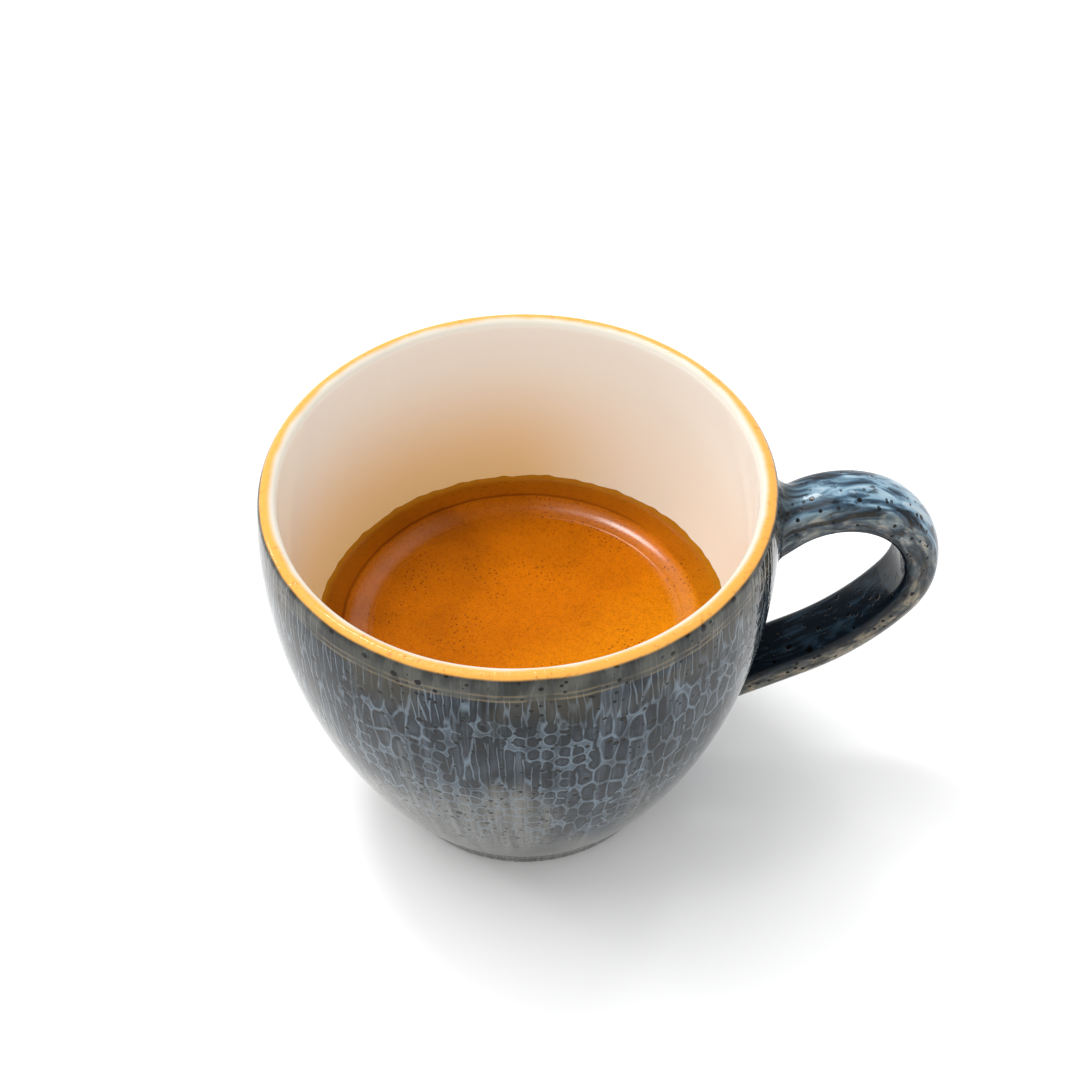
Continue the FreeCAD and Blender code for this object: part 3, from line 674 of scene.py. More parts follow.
def reactive_glaze(glaze):
    """Reactive stoneware glaze: two glazes dipped one over the other and fired until they run. Outside,
    pale blue runs and a net of round cells over slate, ash grey near the foot, and pinholes. The glaze
    breaks to amber over the lip. The handle holds it thick and dark, with painted shade on its inner face
    and lower run. Inside is a cream glaze with a painted warm bounce of light from the crema and painted
    shade on the lip's inner slope. All of it is glassy and reflects the room sharply."""
    material, tree, surface = new_material("reactive glazed stoneware")
    place = add(tree, "ShaderNodeTexCoord", out="Object")
    flow = add(tree, "ShaderNodeAttribute", out="Vector", attribute_name="flow")
    strap = add(tree, "ShaderNodeAttribute", out="Vector", attribute_name="strap")
    from_lip = add(tree, "ShaderNodeAttribute", out="Fac", attribute_name="from_lip")
    root = add(tree, "ShaderNodeAttribute", out="Fac", attribute_name="root")
    flat = add(tree, "ShaderNodeUVMap", uv_map="Glaze")
    height = add(tree, "ShaderNodeSeparateXYZ", {0: flow}, out=2)
    sideways = add(tree, "ShaderNodeSeparateXYZ", {0: flow}, out=0)

    # Noises with the real size of their grain in millimetres, drawn out downwards or along the strap:
    # the slow drift of the glaze's depth, fine clouds, patches where it ran, long runs 1 mm apart, the
    # wander of the lip's lines, the handle's runs and its fine clouds, and the burnt spots on the lip.
    noises = []
    for vector, grain, inputs in (
            (flow, (11.11, 11.11, 22.22), {"Detail": 2.0}),
            (flow, (2.381, 2.381, 4.762), {"Detail": 4.0}),
            (flow, (13.33, 13.33, 16.67), {"Detail": 1.0, "Distortion": 0.4}),
            (flow, (1.111, 1.111, 20.0), {"Detail": 3.0, "Roughness": 0.62}),
            (flow, (5.0, 5.0, 16.67), {"Detail": 3.0}),
            (strap, (1.786, 1.786, 5.882), {"Detail": 4.0, "Distortion": 1.2}),
            (strap, (1.111, 1.111, 2.381), {"Detail": 3.0, "Distortion": 0.8}),
            (place, (0.7692, 0.7692, 0.7692), {"Detail": 3.0})):
        scaled = add(tree, "ShaderNodeMapping", {0: vector, 3: [1 / (size * MM) for size in grain]})
        noises.append(add(tree, "ShaderNodeTexNoise", {"Vector": scaled, "Scale": 1.0, **inputs}))
    drift, fine, patch, runs, lip_noise, strap_noise, strap_fine, spots = noises

    # Nets of cells, each given by its width and height in millimetres, how unevenly the cells lie and how
    # far from its middle a cell reaches: round ones, drawn-out ones where the glaze ran, and hair-fine
    # runs under the lip, away from the handle and in patches. A round cell is what is both far enough
    # from its neighbours and near enough to its own middle, which rounds its corners.
    warp = add(tree, "ShaderNodeTexNoise", {"Vector": flow, "Scale": 1 / (3.846 * MM), "Detail": 2.0},
               out=1)
    warp_step = add(tree, "ShaderNodeVectorMath", {0: warp, 1: (0.9 * MM, 1.0 * MM, 0)},
                    operation="MULTIPLY")
    net_flat = add(tree, "ShaderNodeVectorMath", {0: flat, 1: warp_step}, operation="ADD")
    nets = []
    for width, tall, randomness, roundness in ((1.887, 2.381, 0.48, 0.50), (2.0, 4.651, 0.60, 0.62),
                                               (1.0526, 11.765, 0.9, 9.0)):
        net_place = add(tree, "ShaderNodeMapping", {0: net_flat, 3: (1 / (width * MM), 1 / (tall * MM), 1)})
        shared = {"Vector": net_place, "Scale": 1.0, "Randomness": randomness}
        edge = add(tree, "ShaderNodeTexVoronoi", shared, feature="DISTANCE_TO_EDGE",
                   voronoi_dimensions="2D")
        middle = add(tree, "ShaderNodeTexVoronoi", shared, voronoi_dimensions="2D")
        rounded = add(tree, "ShaderNodeMath", {0: roundness, 1: middle}, operation="SUBTRACT")
        nets.append(add(tree, "ShaderNodeMath", {0: edge, 1: rounded}, operation="MINIMUM"))
    drawn = add(tree, "ShaderNodeMapRange", {0: patch, 1: 0.52, 2: 0.60}, **SMOOTH)
    net = add(tree, "ShaderNodeMix", {0: drawn, 2: nets[0], 3: nets[1]})
    top_place = add(tree, "ShaderNodeMath", {0: drift, 1: 12 * MM, 2: height}, operation="MULTIPLY_ADD")
    at_top = add(tree, "ShaderNodeMapRange", {0: top_place, 1: 50 * MM, 2: 53 * MM}, **SMOOTH)
    in_patch = add(tree, "ShaderNodeMapRange", {0: patch, 1: 0.38, 2: 0.32}, **SMOOTH)
    at_left = add(tree, "ShaderNodeMapRange", {0: sideways, 1: -20 * MM, 2: -26 * MM}, **SMOOTH)
    streaked = add(tree, "ShaderNodeMath", {0: at_top, 1: in_patch}, operation="MAXIMUM")
    streaked = add(tree, "ShaderNodeMath", {0: streaked, 1: at_left}, operation="MAXIMUM")
    net = add(tree, "ShaderNodeMix", {0: streaked, 2: net, 3: nets[2]})
    near_edge = add(tree, "ShaderNodeMapRange", {0: net, 1: 0.0, 2: 0.105, 3: 1.0, 4: 0.0}, **SMOOTH)
    not_gap = add(tree, "ShaderNodeMapRange", {0: net, 1: -0.08, 2: -0.005, 3: 0.38, 4: 1.0}, **SMOOTH)
    net_line = add(tree, "ShaderNodeMath", {0: near_edge, 1: not_gap}, operation="MULTIPLY")
    net_low = add(tree, "ShaderNodeMapRange", {0: height, 1: 9 * MM, 2: 22 * MM}, **SMOOTH)
    worn = add(tree, "ShaderNodeMapRange", {0: fine, 1: 0.34, 2: 0.58, 3: 0.35, 4: 1.0}, **SMOOTH)
    line_amount = add(tree, "ShaderNodeMath", {0: net_line, 1: net_low}, operation="MULTIPLY")
    line_amount = add(tree, "ShaderNodeMath", {0: line_amount, 1: worn}, operation="MULTIPLY")

    # Slate body, clouded, darker just inside each cell's outline and a little over the whole cell, with
    # long soft runs over it.
    inner_rim = add(tree, "ShaderNodeMapRange", {0: net, 1: 0.05, 2: 0.10}, **SMOOTH)
    cell_rest = add(tree, "ShaderNodeMapRange", {0: net, 1: 0.30, 2: 0.13, 3: 0.0, 4: 0.60}, **SMOOTH)
    rim_dark = add(tree, "ShaderNodeMath", {0: inner_rim, 1: cell_rest}, operation="MULTIPLY")
    rim_dark = add(tree, "ShaderNodeMath", {0: rim_dark, 1: net_low}, operation="MULTIPLY")
    cell_dark = add(tree, "ShaderNodeMapRange", {0: net, 1: 0.04, 2: 0.12, 3: 0.0, 4: 0.28}, **SMOOTH)
    cell_dark = add(tree, "ShaderNodeMath", {0: cell_dark, 1: net_low}, operation="MULTIPLY")
    run_place = add(tree, "ShaderNodeMapRange", {0: height, 1: 10 * MM, 2: 50 * MM, 3: 0.22, 4: 0.26},
                    **SMOOTH)
    run_here = add(tree, "ShaderNodeMapRange", {0: runs, 1: 0.50, 2: 0.72}, **SMOOTH)
    run_amount = add(tree, "ShaderNodeMath", {0: run_here, 1: run_place}, operation="MULTIPLY")
    shallow = add(tree, "ShaderNodeMapRange", {0: drift, 1: 0.34, 2: 0.62}, **SMOOTH)
    cloud_pale = add(tree, "ShaderNodeMapRange", {0: fine, 1: 0.40, 2: 0.72, 3: 0.0, 4: 0.20}, **SMOOTH)
    cloud_dark = add(tree, "ShaderNodeMapRange", {0: fine, 1: 0.46, 2: 0.30, 3: 0.0, 4: 0.60}, **SMOOTH)
    body = glaze.deep
    for share, shade in ((shallow, glaze.slate), (cloud_pale, glaze.flow), (cloud_dark, glaze.deep),
                         (rim_dark, glaze.deep), (cell_dark, glaze.deep), (run_amount, glaze.flow)):
        body = add(tree, "ShaderNodeMix", {0: share, 6: body, 7: shade}, **COLOURS)

    # Ash grey towards the foot, its edge wandering by a centimetre or two and higher away from the
    # handle, with faint upright streaks. The net runs on over it.
    ash_top = add(tree, "ShaderNodeMath", {0: sideways, 1: -0.7, 2: 53 * MM}, operation="MULTIPLY_ADD")
    ash_top = add(tree, "ShaderNodeMath", {0: ash_top, 1: 55 * MM}, operation="MINIMUM")
    ash_top = add(tree, "ShaderNodeMath", {0: drift, 1: -50 * MM, 2: ash_top}, operation="MULTIPLY_ADD")
    below = add(tree, "ShaderNodeMath", {0: ash_top, 1: height}, operation="SUBTRACT")
    below = add(tree, "ShaderNodeMath", {0: runs, 1: 6 * MM, 2: below}, operation="MULTIPLY_ADD")
    ash_here = add(tree, "ShaderNodeMapRange", {0: below, 1: -2 * MM, 2: 10 * MM, 3: 0.0, 4: 0.88},
                   **SMOOTH)
    ash_streak = add(tree, "ShaderNodeMapRange", {0: runs, 1: 0.34, 2: 0.66}, **SMOOTH)
    ash = add(tree, "ShaderNodeMix", {0: ash_streak, 6: glaze.ash_deep, 7: glaze.ash}, **COLOURS)
    body = add(tree, "ShaderNodeMix", {0: ash_here, 6: body, 7: ash}, **COLOURS)
    net_share = add(tree, "ShaderNodeMath", {0: line_amount, 1: 0.56}, operation="MULTIPLY")
    body = add(tree, "ShaderNodeMix", {0: net_share, 6: body, 7: glaze.flow}, **COLOURS)

    # Olive tint in patches below the band, then the grey band under the lip and the two tan lines that
    # end it, broken and wavy.
    lip_place = add(tree, "ShaderNodeMath", {0: lip_noise, 1: 0.7 * MM, 2: from_lip},
                    operation="MULTIPLY_ADD")
    olive_low = add(tree, "ShaderNodeMapRange", {0: lip_place, 1: -10.5 * MM, 2: -4.5 * MM}, **SMOOTH)
    olive_patch = add(tree, "ShaderNodeMapRange", {0: patch, 1: 0.42, 2: 0.56, 3: 0.0, 4: 0.32}, **SMOOTH)
    olive_here = add(tree, "ShaderNodeMath", {0: olive_low, 1: olive_patch}, operation="MULTIPLY")
    body = add(tree, "ShaderNodeMix", {0: olive_here, 6: body, 7: glaze.olive}, **COLOURS)
    band_cloud = add(tree, "ShaderNodeMapRange", {0: fine, 1: 0.36, 2: 0.64}, **SMOOTH)
    band = add(tree, "ShaderNodeMix", {0: band_cloud, 6: glaze.band_deep, 7: glaze.band}, **COLOURS)
    band_here = add(tree, "ShaderNodeMapRange",
                    {0: lip_place, 1: -4.2 * MM, 2: -3.4 * MM, 3: 0.0, 4: 0.82}, **SMOOTH)
    body = add(tree, "ShaderNodeMix", {0: band_here, 6: body, 7: band}, **COLOURS)
    unbroken = add(tree, "ShaderNodeMapRange", {0: lip_noise, 1: 0.40, 2: 0.55, 3: 0.25, 4: 1.0}, **SMOOTH)
    for level, strength in ((-3.1 * MM, 0.24), (-3.9 * MM, 0.30)):
        away = add(tree, "ShaderNodeMath", {0: lip_place, 1: level}, operation="SUBTRACT")
        away = add(tree, "ShaderNodeMath", {0: away}, operation="ABSOLUTE")
        line = add(tree, "ShaderNodeMapRange", {0: away, 1: 0.04 * MM, 2: 0.26 * MM, 3: strength, 4: 0.0},
                   **SMOOTH)
        line = add(tree, "ShaderNodeMath", {0: line, 1: unbroken}, operation="MULTIPLY")
        body = add(tree, "ShaderNodeMix", {0: line, 6: body, 7: glaze.tan}, **COLOURS)

    # Handle: steel blue on the crown with paler runs along it, navy in clouds and thick towards both roots,
    # painted shade in navy on the inner face that faces the wall and along the lower run, and olive and tan
    # along both edges where the glaze is thin.
    across = add(tree, "ShaderNodeSeparateXYZ", {0: strap}, out=0)
    towards = add(tree, "ShaderNodeSeparateXYZ", {0: strap}, out=1)
    along = add(tree, "ShaderNodeSeparateXYZ", {0: strap}, out=2)
    handle = add(tree, "ShaderNodeValToRGB", {0: strap_noise}, stops=(
        (0.36, glaze.navy), (0.49, glaze.steel), (0.59, glaze.sky), (0.69, glaze.pale), (0.82, glaze.tan)))
    strap_dark = add(tree, "ShaderNodeMapRange", {0: strap_fine, 1: 0.40, 2: 0.30, 3: 0.0, 4: 0.75},
                     **SMOOTH)
    # Painted shade: navy along the lower run, under the bend.
    painted_shade_low_run = add(tree, "ShaderNodeMapRange", {0: along, 1: 26 * MM, 2: 44 * MM, 3: 0.0, 4: 0.72},
                    **SMOOTH)
    off_middle = add(tree, "ShaderNodeMath", {0: across}, operation="ABSOLUTE")
    at_edge = add(tree, "ShaderNodeMapRange", {0: off_middle, 1: 3.0 * MM, 2: 4.0 * MM}, **SMOOTH)
    edge_run = add(tree, "ShaderNodeMapRange", {0: strap_noise, 1: 0.40, 2: 0.60, 3: 0.10, 4: 0.60},
                   **SMOOTH)
    at_edge = add(tree, "ShaderNodeMath", {0: at_edge, 1: edge_run}, operation="MULTIPLY")
    thin_cloud = add(tree, "ShaderNodeMapRange", {0: strap_fine, 1: 0.40, 2: 0.62}, **SMOOTH)
    thin = add(tree, "ShaderNodeMix", {0: thin_cloud, 6: glaze.olive, 7: glaze.tan}, **COLOURS)
    inner_cloud = add(tree, "ShaderNodeMapRange", {0: strap_noise, 1: 0.48, 2: 0.72, 3: 0.0, 4: 0.45},
                      **SMOOTH)
    inner = add(tree, "ShaderNodeMix", {0: inner_cloud, 6: glaze.navy, 7: glaze.steel}, **COLOURS)
    # Painted shade: navy on the strap's inner face, which faces the cup's wall.
    painted_shade_inner_face = add(tree, "ShaderNodeMapRange", {0: towards, 1: -0.4 * MM, 2: -2.2 * MM}, **SMOOTH)
    near_root = add(tree, "ShaderNodeMapRange", {0: root, 1: 0.98, 2: 0.45, 3: 0.0, 4: 0.6}, **SMOOTH)
    for share, shade in ((strap_dark, glaze.navy), (painted_shade_low_run, glaze.navy), (at_edge, thin),
                         (painted_shade_inner_face, inner), (near_root, glaze.navy)):
        handle = add(tree, "ShaderNodeMix", {0: share, 6: handle, 7: shade}, **COLOURS)
    body = add(tree, "ShaderNodeMix", {0: root, 6: body, 7: handle}, **COLOURS)

    # Pinholes and iron specks up to 0.9 mm across, one at most in a cell whose width is given in
    # millimetres: large ones, and small ones that crowd where the drift is high. Few lie low on the cup.
    specks = []
    for cell, low, high in ((2.0, 0.21, 0.27), (1.1364, 0.22, 0.30)):
        inputs = {"Vector": place, "Scale": 1 / (cell * MM)}
        dots = add(tree, "ShaderNodeTexVoronoi", inputs)
        chance = add(tree, "ShaderNodeTexVoronoi", inputs, out="Color")
        kept = add(tree, "ShaderNodeSeparateXYZ", {0: chance}, out=0)
        kept = add(tree, "ShaderNodeMapRange", {0: kept, 1: 0.26, 2: 0.32}, **SMOOTH)
        shrunk = add(tree, "ShaderNodeSeparateXYZ", {0: chance}, out=1)
        shrunk = add(tree, "ShaderNodeMath", {0: shrunk, 1: 0.10, 2: dots}, operation="MULTIPLY_ADD")
        dot = add(tree, "ShaderNodeMapRange", {0: shrunk, 1: low, 2: high, 3: 1.0, 4: 0.0}, **SMOOTH)
        specks.append(add(tree, "ShaderNodeMath", {0: dot, 1: kept}, operation="MULTIPLY"))
    crowded = add(tree, "ShaderNodeMapRange", {0: drift, 1: 0.36, 2: 0.48, 3: 0.25, 4: 1.0}, **SMOOTH)
    small = add(tree, "ShaderNodeMath", {0: specks[1], 1: crowded}, operation="MULTIPLY")
    speck = add(tree, "ShaderNodeMath", {0: specks[0], 1: small}, operation="MAXIMUM")
    speck_low = add(tree, "ShaderNodeMath", {0: lip_noise, 1: 30 * MM, 2: height},
                    operation="MULTIPLY_ADD")
    speck_low = add(tree, "ShaderNodeMapRange", {0: speck_low, 1: 18 * MM, 2: 30 * MM, 3: 0.15, 4: 1.0},
                    **SMOOTH)
    speck = add(tree, "ShaderNodeMath", {0: speck, 1: speck_low}, operation="MULTIPLY")
    body = add(tree, "ShaderNodeMix", {0: speck, 6: body, 7: glaze.iron}, **COLOURS)

    # Amber lip with burnt spots, then the cream inside, with a painted warm bounce of light from the crema
    # lower down, strongest on the shaded left, and painted shade on the lip's inner slope.
    burnt = add(tree, "ShaderNodeMapRange", {0: spots, 1: 0.56, 2: 0.78, 3: 0.0, 4: 0.55}, **SMOOTH)
    amber = add(tree, "ShaderNodeMix", {0: burnt, 6: glaze.amber, 7: glaze.rust}, **COLOURS)
    lip_edge = add(tree, "ShaderNodeMath", {0: lip_noise, 1: 0.3 * MM, 2: from_lip},
                   operation="MULTIPLY_ADD")
    on_lip = add(tree, "ShaderNodeMapRange", {0: lip_edge, 1: -1.12 * MM, 2: -0.72 * MM}, **SMOOTH)
    body = add(tree, "ShaderNodeMix", {0: on_lip, 6: body, 7: amber}, **COLOURS)
    # Painted bounce light: a warm tint from the crema that grows towards it.
    painted_bounce = add(tree, "ShaderNodeMapRange", {0: height, 1: 50 * MM, 2: 28 * MM}, **SMOOTH)
    # The painted bounce is weaker on the lit right side and strongest on the shaded left.
    painted_bounce_side = add(tree, "ShaderNodeMapRange", {0: sideways, 1: 0.0, 2: 26 * MM, 3: 1.0, 4: 0.20},
                      **SMOOTH)
    painted_bounce = add(tree, "ShaderNodeMath", {0: painted_bounce, 1: painted_bounce_side}, operation="MULTIPLY")
    lining = add(tree, "ShaderNodeMix", {0: painted_bounce, 6: glaze.cream, 7: glaze.honey}, **COLOURS)
    # Painted shade: a duller cream on the lip's inner slope.
    painted_lip_shade = add(tree, "ShaderNodeMapRange", {0: from_lip, 1: 1.75 * MM, 2: 0.95 * MM}, **SMOOTH)
    lining = add(tree, "ShaderNodeMix", {0: painted_lip_shade, 6: lining, 7: glaze.shaded_cream}, **COLOURS)
    inside = add(tree, "ShaderNodeMapRange", {0: lip_place, 1: 0.2 * MM, 2: 1.1 * MM}, **SMOOTH)
    body = add(tree, "ShaderNodeMix", {0: inside, 6: body, 7: lining}, **COLOURS)

    outside = add(tree, "ShaderNodeMath", {0: 1.0, 1: inside}, operation="SUBTRACT")
    off_handle = add(tree, "ShaderNodeMath", {0: 1.0, 1: root}, operation="SUBTRACT")
    relief = add(tree, "ShaderNodeMath", {0: line_amount, 1: off_handle}, operation="MULTIPLY")
    relief = add(tree, "ShaderNodeMath", {0: speck, 1: -1.0, 2: relief}, operation="MULTIPLY_ADD")
    relief = add(tree, "ShaderNodeMath", {0: relief, 1: outside}, operation="MULTIPLY")
    bump = add(tree, "ShaderNodeBump", {"Strength": 0.3, "Distance": 0.1 * MM, "Height": relief})
    shade = add(tree, "ShaderNodeBsdfPrincipled", {
        "Base Color": body, "Roughness": 0.07, "IOR": 1.5, "Specular IOR Level": 0.2, "Normal": bump})
    tree.links.new(shade, surface)
    return material


def crema_foam(crema):
    """Crema: coffee oils and carbon dioxide whipped into a fine foam by the pressure of brewing. Orange
    brown, with painted light on its front right and painted shade on its back left, paler where thin at its
    edge, flecked with pinholes of 0.2 to 0.3 mm, and glossy when wet."""
    material, tree, surface = new_material("espresso crema")
    place = add(tree, "ShaderNodeTexCoord", out="Object")
    from_wall = add(tree, "ShaderNodeAttribute", out="Fac", attribute_name="from_wall")

    # Noises with the real size of their grain in millimetres: clouds of denser foam, twisted fine marks,
    # and where the pinholes crowd.
    noises = []
    for grain, inputs in ((14.286, {"Detail": 4.0}), (0.66667, {"Detail": 2.0, "Distortion": 1.4}),
                          (6.25, {"Detail": 1.0})):
        inputs = {"Vector": place, "Scale": 1 / (grain * MM), **inputs}
        noises.append(add(tree, "ShaderNodeTexNoise", inputs))
    clouds, marks, crowd = noises

    # Painted light and shade: amber on the lit front right and brown on the back left that the cup's wall
    # shades, plus brown in the clouds of denser foam. The painted light and shade follow a level direction,
    # whose vector holds how much they change in a metre.
    lean = add(tree, "ShaderNodeVectorMath", {0: place, 1: (-14.0, 22.0, 0.0)}, out=1,
               operation="DOT_PRODUCT")
    lit = add(tree, "ShaderNodeMapRange", {0: lean, 1: -0.05, 2: -0.42, 3: 0.0, 4: 0.8})
    dense = add(tree, "ShaderNodeMapRange", {0: clouds, 1: 0.38, 2: 0.66, 3: 0.0, 4: 0.40})
    # Painted shade: the level direction adds brown towards the back left.
    dense = add(tree, "ShaderNodeMath", {0: lean, 1: dense}, operation="ADD", use_clamp=True)

    # Worm-like marks about 0.4 mm long are thin level lines of the twisted noise. Pinholes lie about
    # 1 mm apart, darker where they crowd.
    mark = add(tree, "ShaderNodeMath", {0: marks, 1: 0.5}, operation="SUBTRACT")
    mark = add(tree, "ShaderNodeMath", {0: mark}, operation="ABSOLUTE")
    mark = add(tree, "ShaderNodeMapRange", {0: mark, 1: 0.0, 2: 0.05, 3: 0.42, 4: 0.0})
    holes = add(tree, "ShaderNodeTexVoronoi", {"Vector": place, "Scale": 1 / (1.1111 * MM)},
                voronoi_dimensions="2D")
    hole = add(tree, "ShaderNodeMapRange", {0: holes, 1: 0.07, 2: 0.15, 3: 1.0, 4: 0.0}, **SMOOTH)
    crowded = add(tree, "ShaderNodeMapRange", {0: crowd, 1: 0.48, 2: 0.64, 3: 0.12, 4: 0.85})
    hole = add(tree, "ShaderNodeMath", {0: hole, 1: crowded}, operation="MULTIPLY")

    # Towards the wall: a browner ring, the dark groove at its inner edge where the foam is dense, and
    # gold where the crema thins out on the wall.
    ring = add(tree, "ShaderNodeMapRange", {0: from_wall, 1: 3.0 * MM, 2: 4.0 * MM, 3: 0.40, 4: 0.0},
               **SMOOTH)
    groove = add(tree, "ShaderNodeMath", {0: from_wall, 1: 3.2 * MM}, operation="SUBTRACT")
    groove = add(tree, "ShaderNodeMath", {0: groove}, operation="ABSOLUTE")
    groove = add(tree, "ShaderNodeMapRange", {0: groove, 1: 0.08 * MM, 2: 0.30 * MM, 3: 1.0, 4: 0.0})
    groove = add(tree, "ShaderNodeMath", {0: groove, 1: dense}, operation="MULTIPLY")
    edge = add(tree, "ShaderNodeMapRange", {0: from_wall, 1: 0.1 * MM, 2: 0.9 * MM, 3: 0.65, 4: 0.0},
               **SMOOTH)
    margin = add(tree, "ShaderNodeMapRange", {0: from_wall, 1: 0.1 * MM, 2: 3.0 * MM, 3: 0.12, 4: 0.0},
                 **SMOOTH)
    body = crema.orange
    for share, shade in ((lit, crema.amber), (dense, crema.brown), (mark, crema.fleck),
                         (hole, crema.fleck), (ring, crema.brown), (groove, crema.fleck),
                         (edge, crema.gold), (margin, crema.gold)):
        body = add(tree, "ShaderNodeMix", {0: share, 6: body, 7: shade}, **COLOURS)

    # Bare coffee stands on the slope round the pool, mostly at both sides, and is glossier than the foam.
    wet_in = add(tree, "ShaderNodeMapRange", {0: from_wall, 1: 7.4 * MM, 2: 6.2 * MM, 3: 0.0, 4: 0.8},
                 **SMOOTH)
    wet_out = add(tree, "ShaderNodeMapRange", {0: from_wall, 1: 3.4 * MM, 2: 4.8 * MM}, **SMOOTH)
    beside = add(tree, "ShaderNodeSeparateXYZ", {0: place}, out=0)
    beside = add(tree, "ShaderNodeMath", {0: beside, 1: 2 * MM}, operation="ADD")
    beside = add(tree, "ShaderNodeMath", {0: beside}, operation="ABSOLUTE")
    beside = add(tree, "ShaderNodeMapRange", {0: beside, 1: 4 * MM, 2: 11 * MM, 3: 0.12, 4: 1.0})
    wet = add(tree, "ShaderNodeMath", {0: wet_in, 1: wet_out}, operation="MULTIPLY")
    wet = add(tree, "ShaderNodeMath", {0: wet, 1: beside}, operation="MULTIPLY")

    relief = add(tree, "ShaderNodeMath", {0: hole, 1: -0.7, 2: marks}, operation="MULTIPLY_ADD")
    bump = add(tree, "ShaderNodeBump", {"Strength": 0.25, "Distance": 0.06 * MM, "Height": relief})
    shade = add(tree, "ShaderNodeBsdfPrincipled", {
        "Base Color": body, "Roughness": 0.2, "IOR": 1.36, "Specular IOR Level": 0.05,
        "Coat Weight": wet, "Coat Roughness": 0.1, "Coat IOR": 1.5, "Subsurface Weight": 0.12,
        "Subsurface Radius": (1.2 * MM, 0.5 * MM, 0.2 * MM), "Subsurface Scale": 1.0, "Normal": bump})
    tree.links.new(shade, surface)
    return material


def studio_floor():
    """Matt painted board: even, pale and almost without a reflection."""
    material, tree, surface = new_material("matt painted board")
    tree.links.new(add(tree, "ShaderNodeBsdfPrincipled", {
        "Base Color": linear("#f6f6f6"), "Roughness": 0.9, "Specular IOR Level": 0.1}), surface)
    return material


# ---- operators -----------------------------------------------------------------------------------

class EspressoBuildCup(bpy.types.Operator):
    """Build the glazed cup with its handle"""

    bl_idname = "espresso.build_cup"
    bl_label = "Build cup"

    def execute(self, context):
        cup = context.scene.espresso_cup
        points, faces, from_lip, root, strap = cup_mesh(cup)
        if not np.isfinite(points).all():
            raise RuntimeError("the cup's sizes leave a root of the handle with no place on the wall")
        turn = np.arctan2(points[:, 1], points[:, 0])
        flow = np.stack([cup.belly_radius * np.cos(turn), cup.belly_radius * np.sin(turn), points[:, 2]],
                        axis=-1)
        flat = np.stack([turn * cup.belly_radius, points[:, 2]], axis=-1)
        attributes = {"flow": flow, "strap": strap, "from_lip": from_lip, "root": root}
        made = put_mesh("glazed_cup", points, faces, attributes, (flat, FULL_TURN * cup.belly_radius),
                        reactive_glaze(context.scene.espresso_glaze))
        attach(made, "root")
        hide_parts("cup")
        return {"FINISHED"}


class EspressoBuildCoffee(bpy.types.Operator):
    """Build the coffee with its crema, reaching just into the cup's wall"""

    bl_idname = "espresso.build_coffee"
    bl_label = "Build coffee"

    def execute(self, context):
        cup, crema = context.scene.espresso_cup, context.scene.espresso_crema
        points, faces, from_wall = coffee_mesh(cup, crema)
        made = put_mesh("crema", points, faces, {"from_wall": from_wall}, None, crema_foam(crema))
        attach(made, "root")
        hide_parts("espresso")
        return {"FINISHED"}


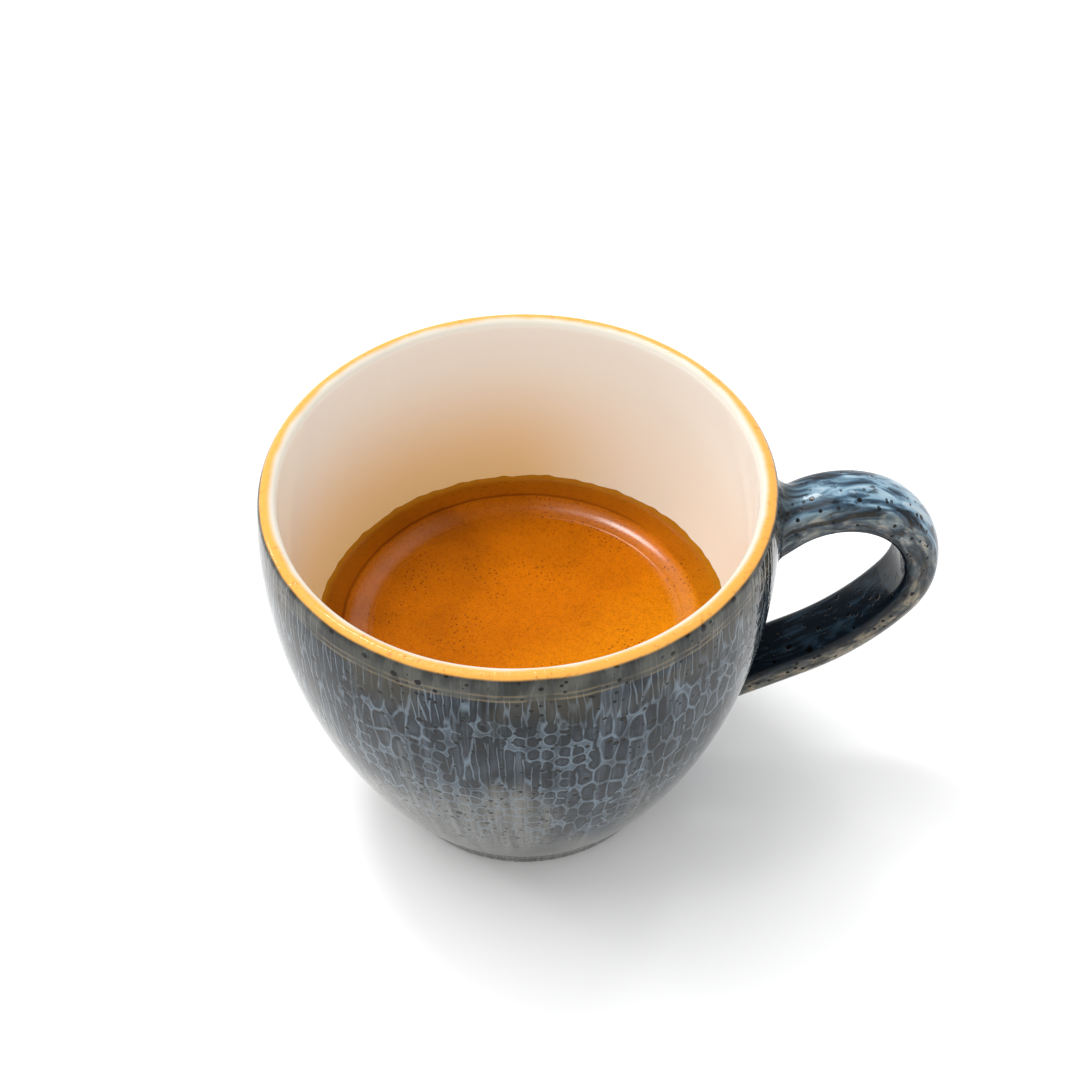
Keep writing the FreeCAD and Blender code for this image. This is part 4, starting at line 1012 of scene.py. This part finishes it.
class EspressoBuildStage(bpy.types.Operator):
    """Set up the floor, the soft lights and the camera"""

    bl_idname = "espresso.build_stage"
    bl_label = "Build stage"

    def execute(self, context):
        scene, stage = context.scene, context.scene.espresso_stage
        scene.view_settings.view_transform = "Standard"
        half = stage.floor / 2
        mesh = bpy.data.meshes.new("floor")
        mesh.from_pydata([(-half, -half, 0), (half, -half, 0), (half, half, 0), (-half, half, 0)], [],
                         [(0, 1, 2, 3)])
        mesh.materials.append(studio_floor())
        floor = bpy.data.objects.new("floor", mesh)
        scene.collection.objects.link(floor)

        world = bpy.data.worlds.new("even studio light")
        world.use_nodes = True
        world.node_tree.nodes["Background"].inputs["Color"].default_value = linear("#ffffff")
        world.node_tree.nodes["Background"].inputs["Strength"].default_value = stage.sky
        scene.world = world
        # Square lights that face the cup's middle: side and distance in metres, turn from the handle's
        # direction towards the back and height above the horizon in degrees.
        middle = Vector((0, 0, CUP_HIGH.z / 2))
        for name, power, size, distance, turn, climb in (
                ("key softbox", stage.key, 3.0, 4.0, 162, 68),
                ("bright panel", stage.panel, 0.42, 2.2, 123, 62),
                ("fill panel", stage.fill, 0.25, 2.2, 47, 60),
                ("low panel", stage.low, 0.3, 2.2, 150, 19)):
            lamp = bpy.data.lights.new(name, "AREA")
            lamp.shape = "SQUARE"
            lamp.size, lamp.energy = size, power
            light = bpy.data.objects.new(name, lamp)
            turn, climb = math.radians(turn), math.radians(climb)
            towards = Vector((math.cos(turn) * math.cos(climb), math.sin(turn) * math.cos(climb),
                              math.sin(climb)))
            light.location = middle + towards * distance
            light.rotation_euler = towards.to_track_quat("Z", "Y").to_euler()
            scene.collection.objects.link(light)

        back = Vector((math.sin(stage.azimuth) * math.cos(stage.elevation),
                       -math.cos(stage.azimuth) * math.cos(stage.elevation), math.sin(stage.elevation)))
        right = Vector((math.cos(stage.azimuth), math.sin(stage.azimuth), 0))
        up = back.cross(right)
        turned_right = right * math.cos(stage.roll) + up * math.sin(stage.roll)
        turned_up = up * math.cos(stage.roll) - right * math.sin(stage.roll)
        lens = bpy.data.cameras.new("camera")
        lens.lens = stage.lens
        lens.clip_start, lens.clip_end = 0.01, 10.0
        camera = bpy.data.objects.new("camera", lens)
        turn = Matrix((turned_right, turned_up, back)).transposed().to_4x4()
        camera.matrix_world = Matrix.Translation(Vector(stage.aim) + back * stage.distance) @ turn
        scene.collection.objects.link(camera)
        scene.camera = camera
        return {"FINISHED"}


OPERATORS = (EspressoBuildCup, EspressoBuildCoffee, EspressoBuildStage)
GROUPS = {"espresso_cup": EspressoCup, "espresso_glaze": EspressoGlaze, "espresso_crema": EspressoCrema,
          "espresso_stage": EspressoStage}


class EspressoPanel(bpy.types.Panel):
    """Buttons and sizes in the 3D view's sidebar"""

    bl_idname = "VIEW3D_PT_espresso"
    bl_label = "Espresso shot"
    bl_space_type = "VIEW_3D"
    bl_region_type = "UI"
    bl_category = "Espresso"

    def draw(self, context):
        for operator in OPERATORS:
            self.layout.operator(operator.bl_idname)
        for name, group in GROUPS.items():
            box = self.layout.box()
            for key in group.__annotations__:
                box.prop(getattr(context.scene, name), key)


def register():
    """Makes the properties, operators and panel known to Blender."""
    for group in GROUPS.values():
        bpy.utils.register_class(group)
    for name, group in GROUPS.items():
        setattr(bpy.types.Scene, name, bpy.props.PointerProperty(type=group))
    for kind in (*OPERATORS, EspressoPanel):
        bpy.utils.register_class(kind)


def unregister():
    """Takes back what register made known."""
    for kind in (EspressoPanel, *reversed(OPERATORS)):
        bpy.utils.unregister_class(kind)
    for name in GROUPS:
        delattr(bpy.types.Scene, name)
    for group in GROUPS.values():
        bpy.utils.unregister_class(group)


def main():
    """Builds everything."""
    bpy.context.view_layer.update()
    register()
    bpy.ops.espresso.build_cup()
    bpy.ops.espresso.build_coffee()
    bpy.ops.espresso.build_stage()


if __name__ == "__main__":
    main()
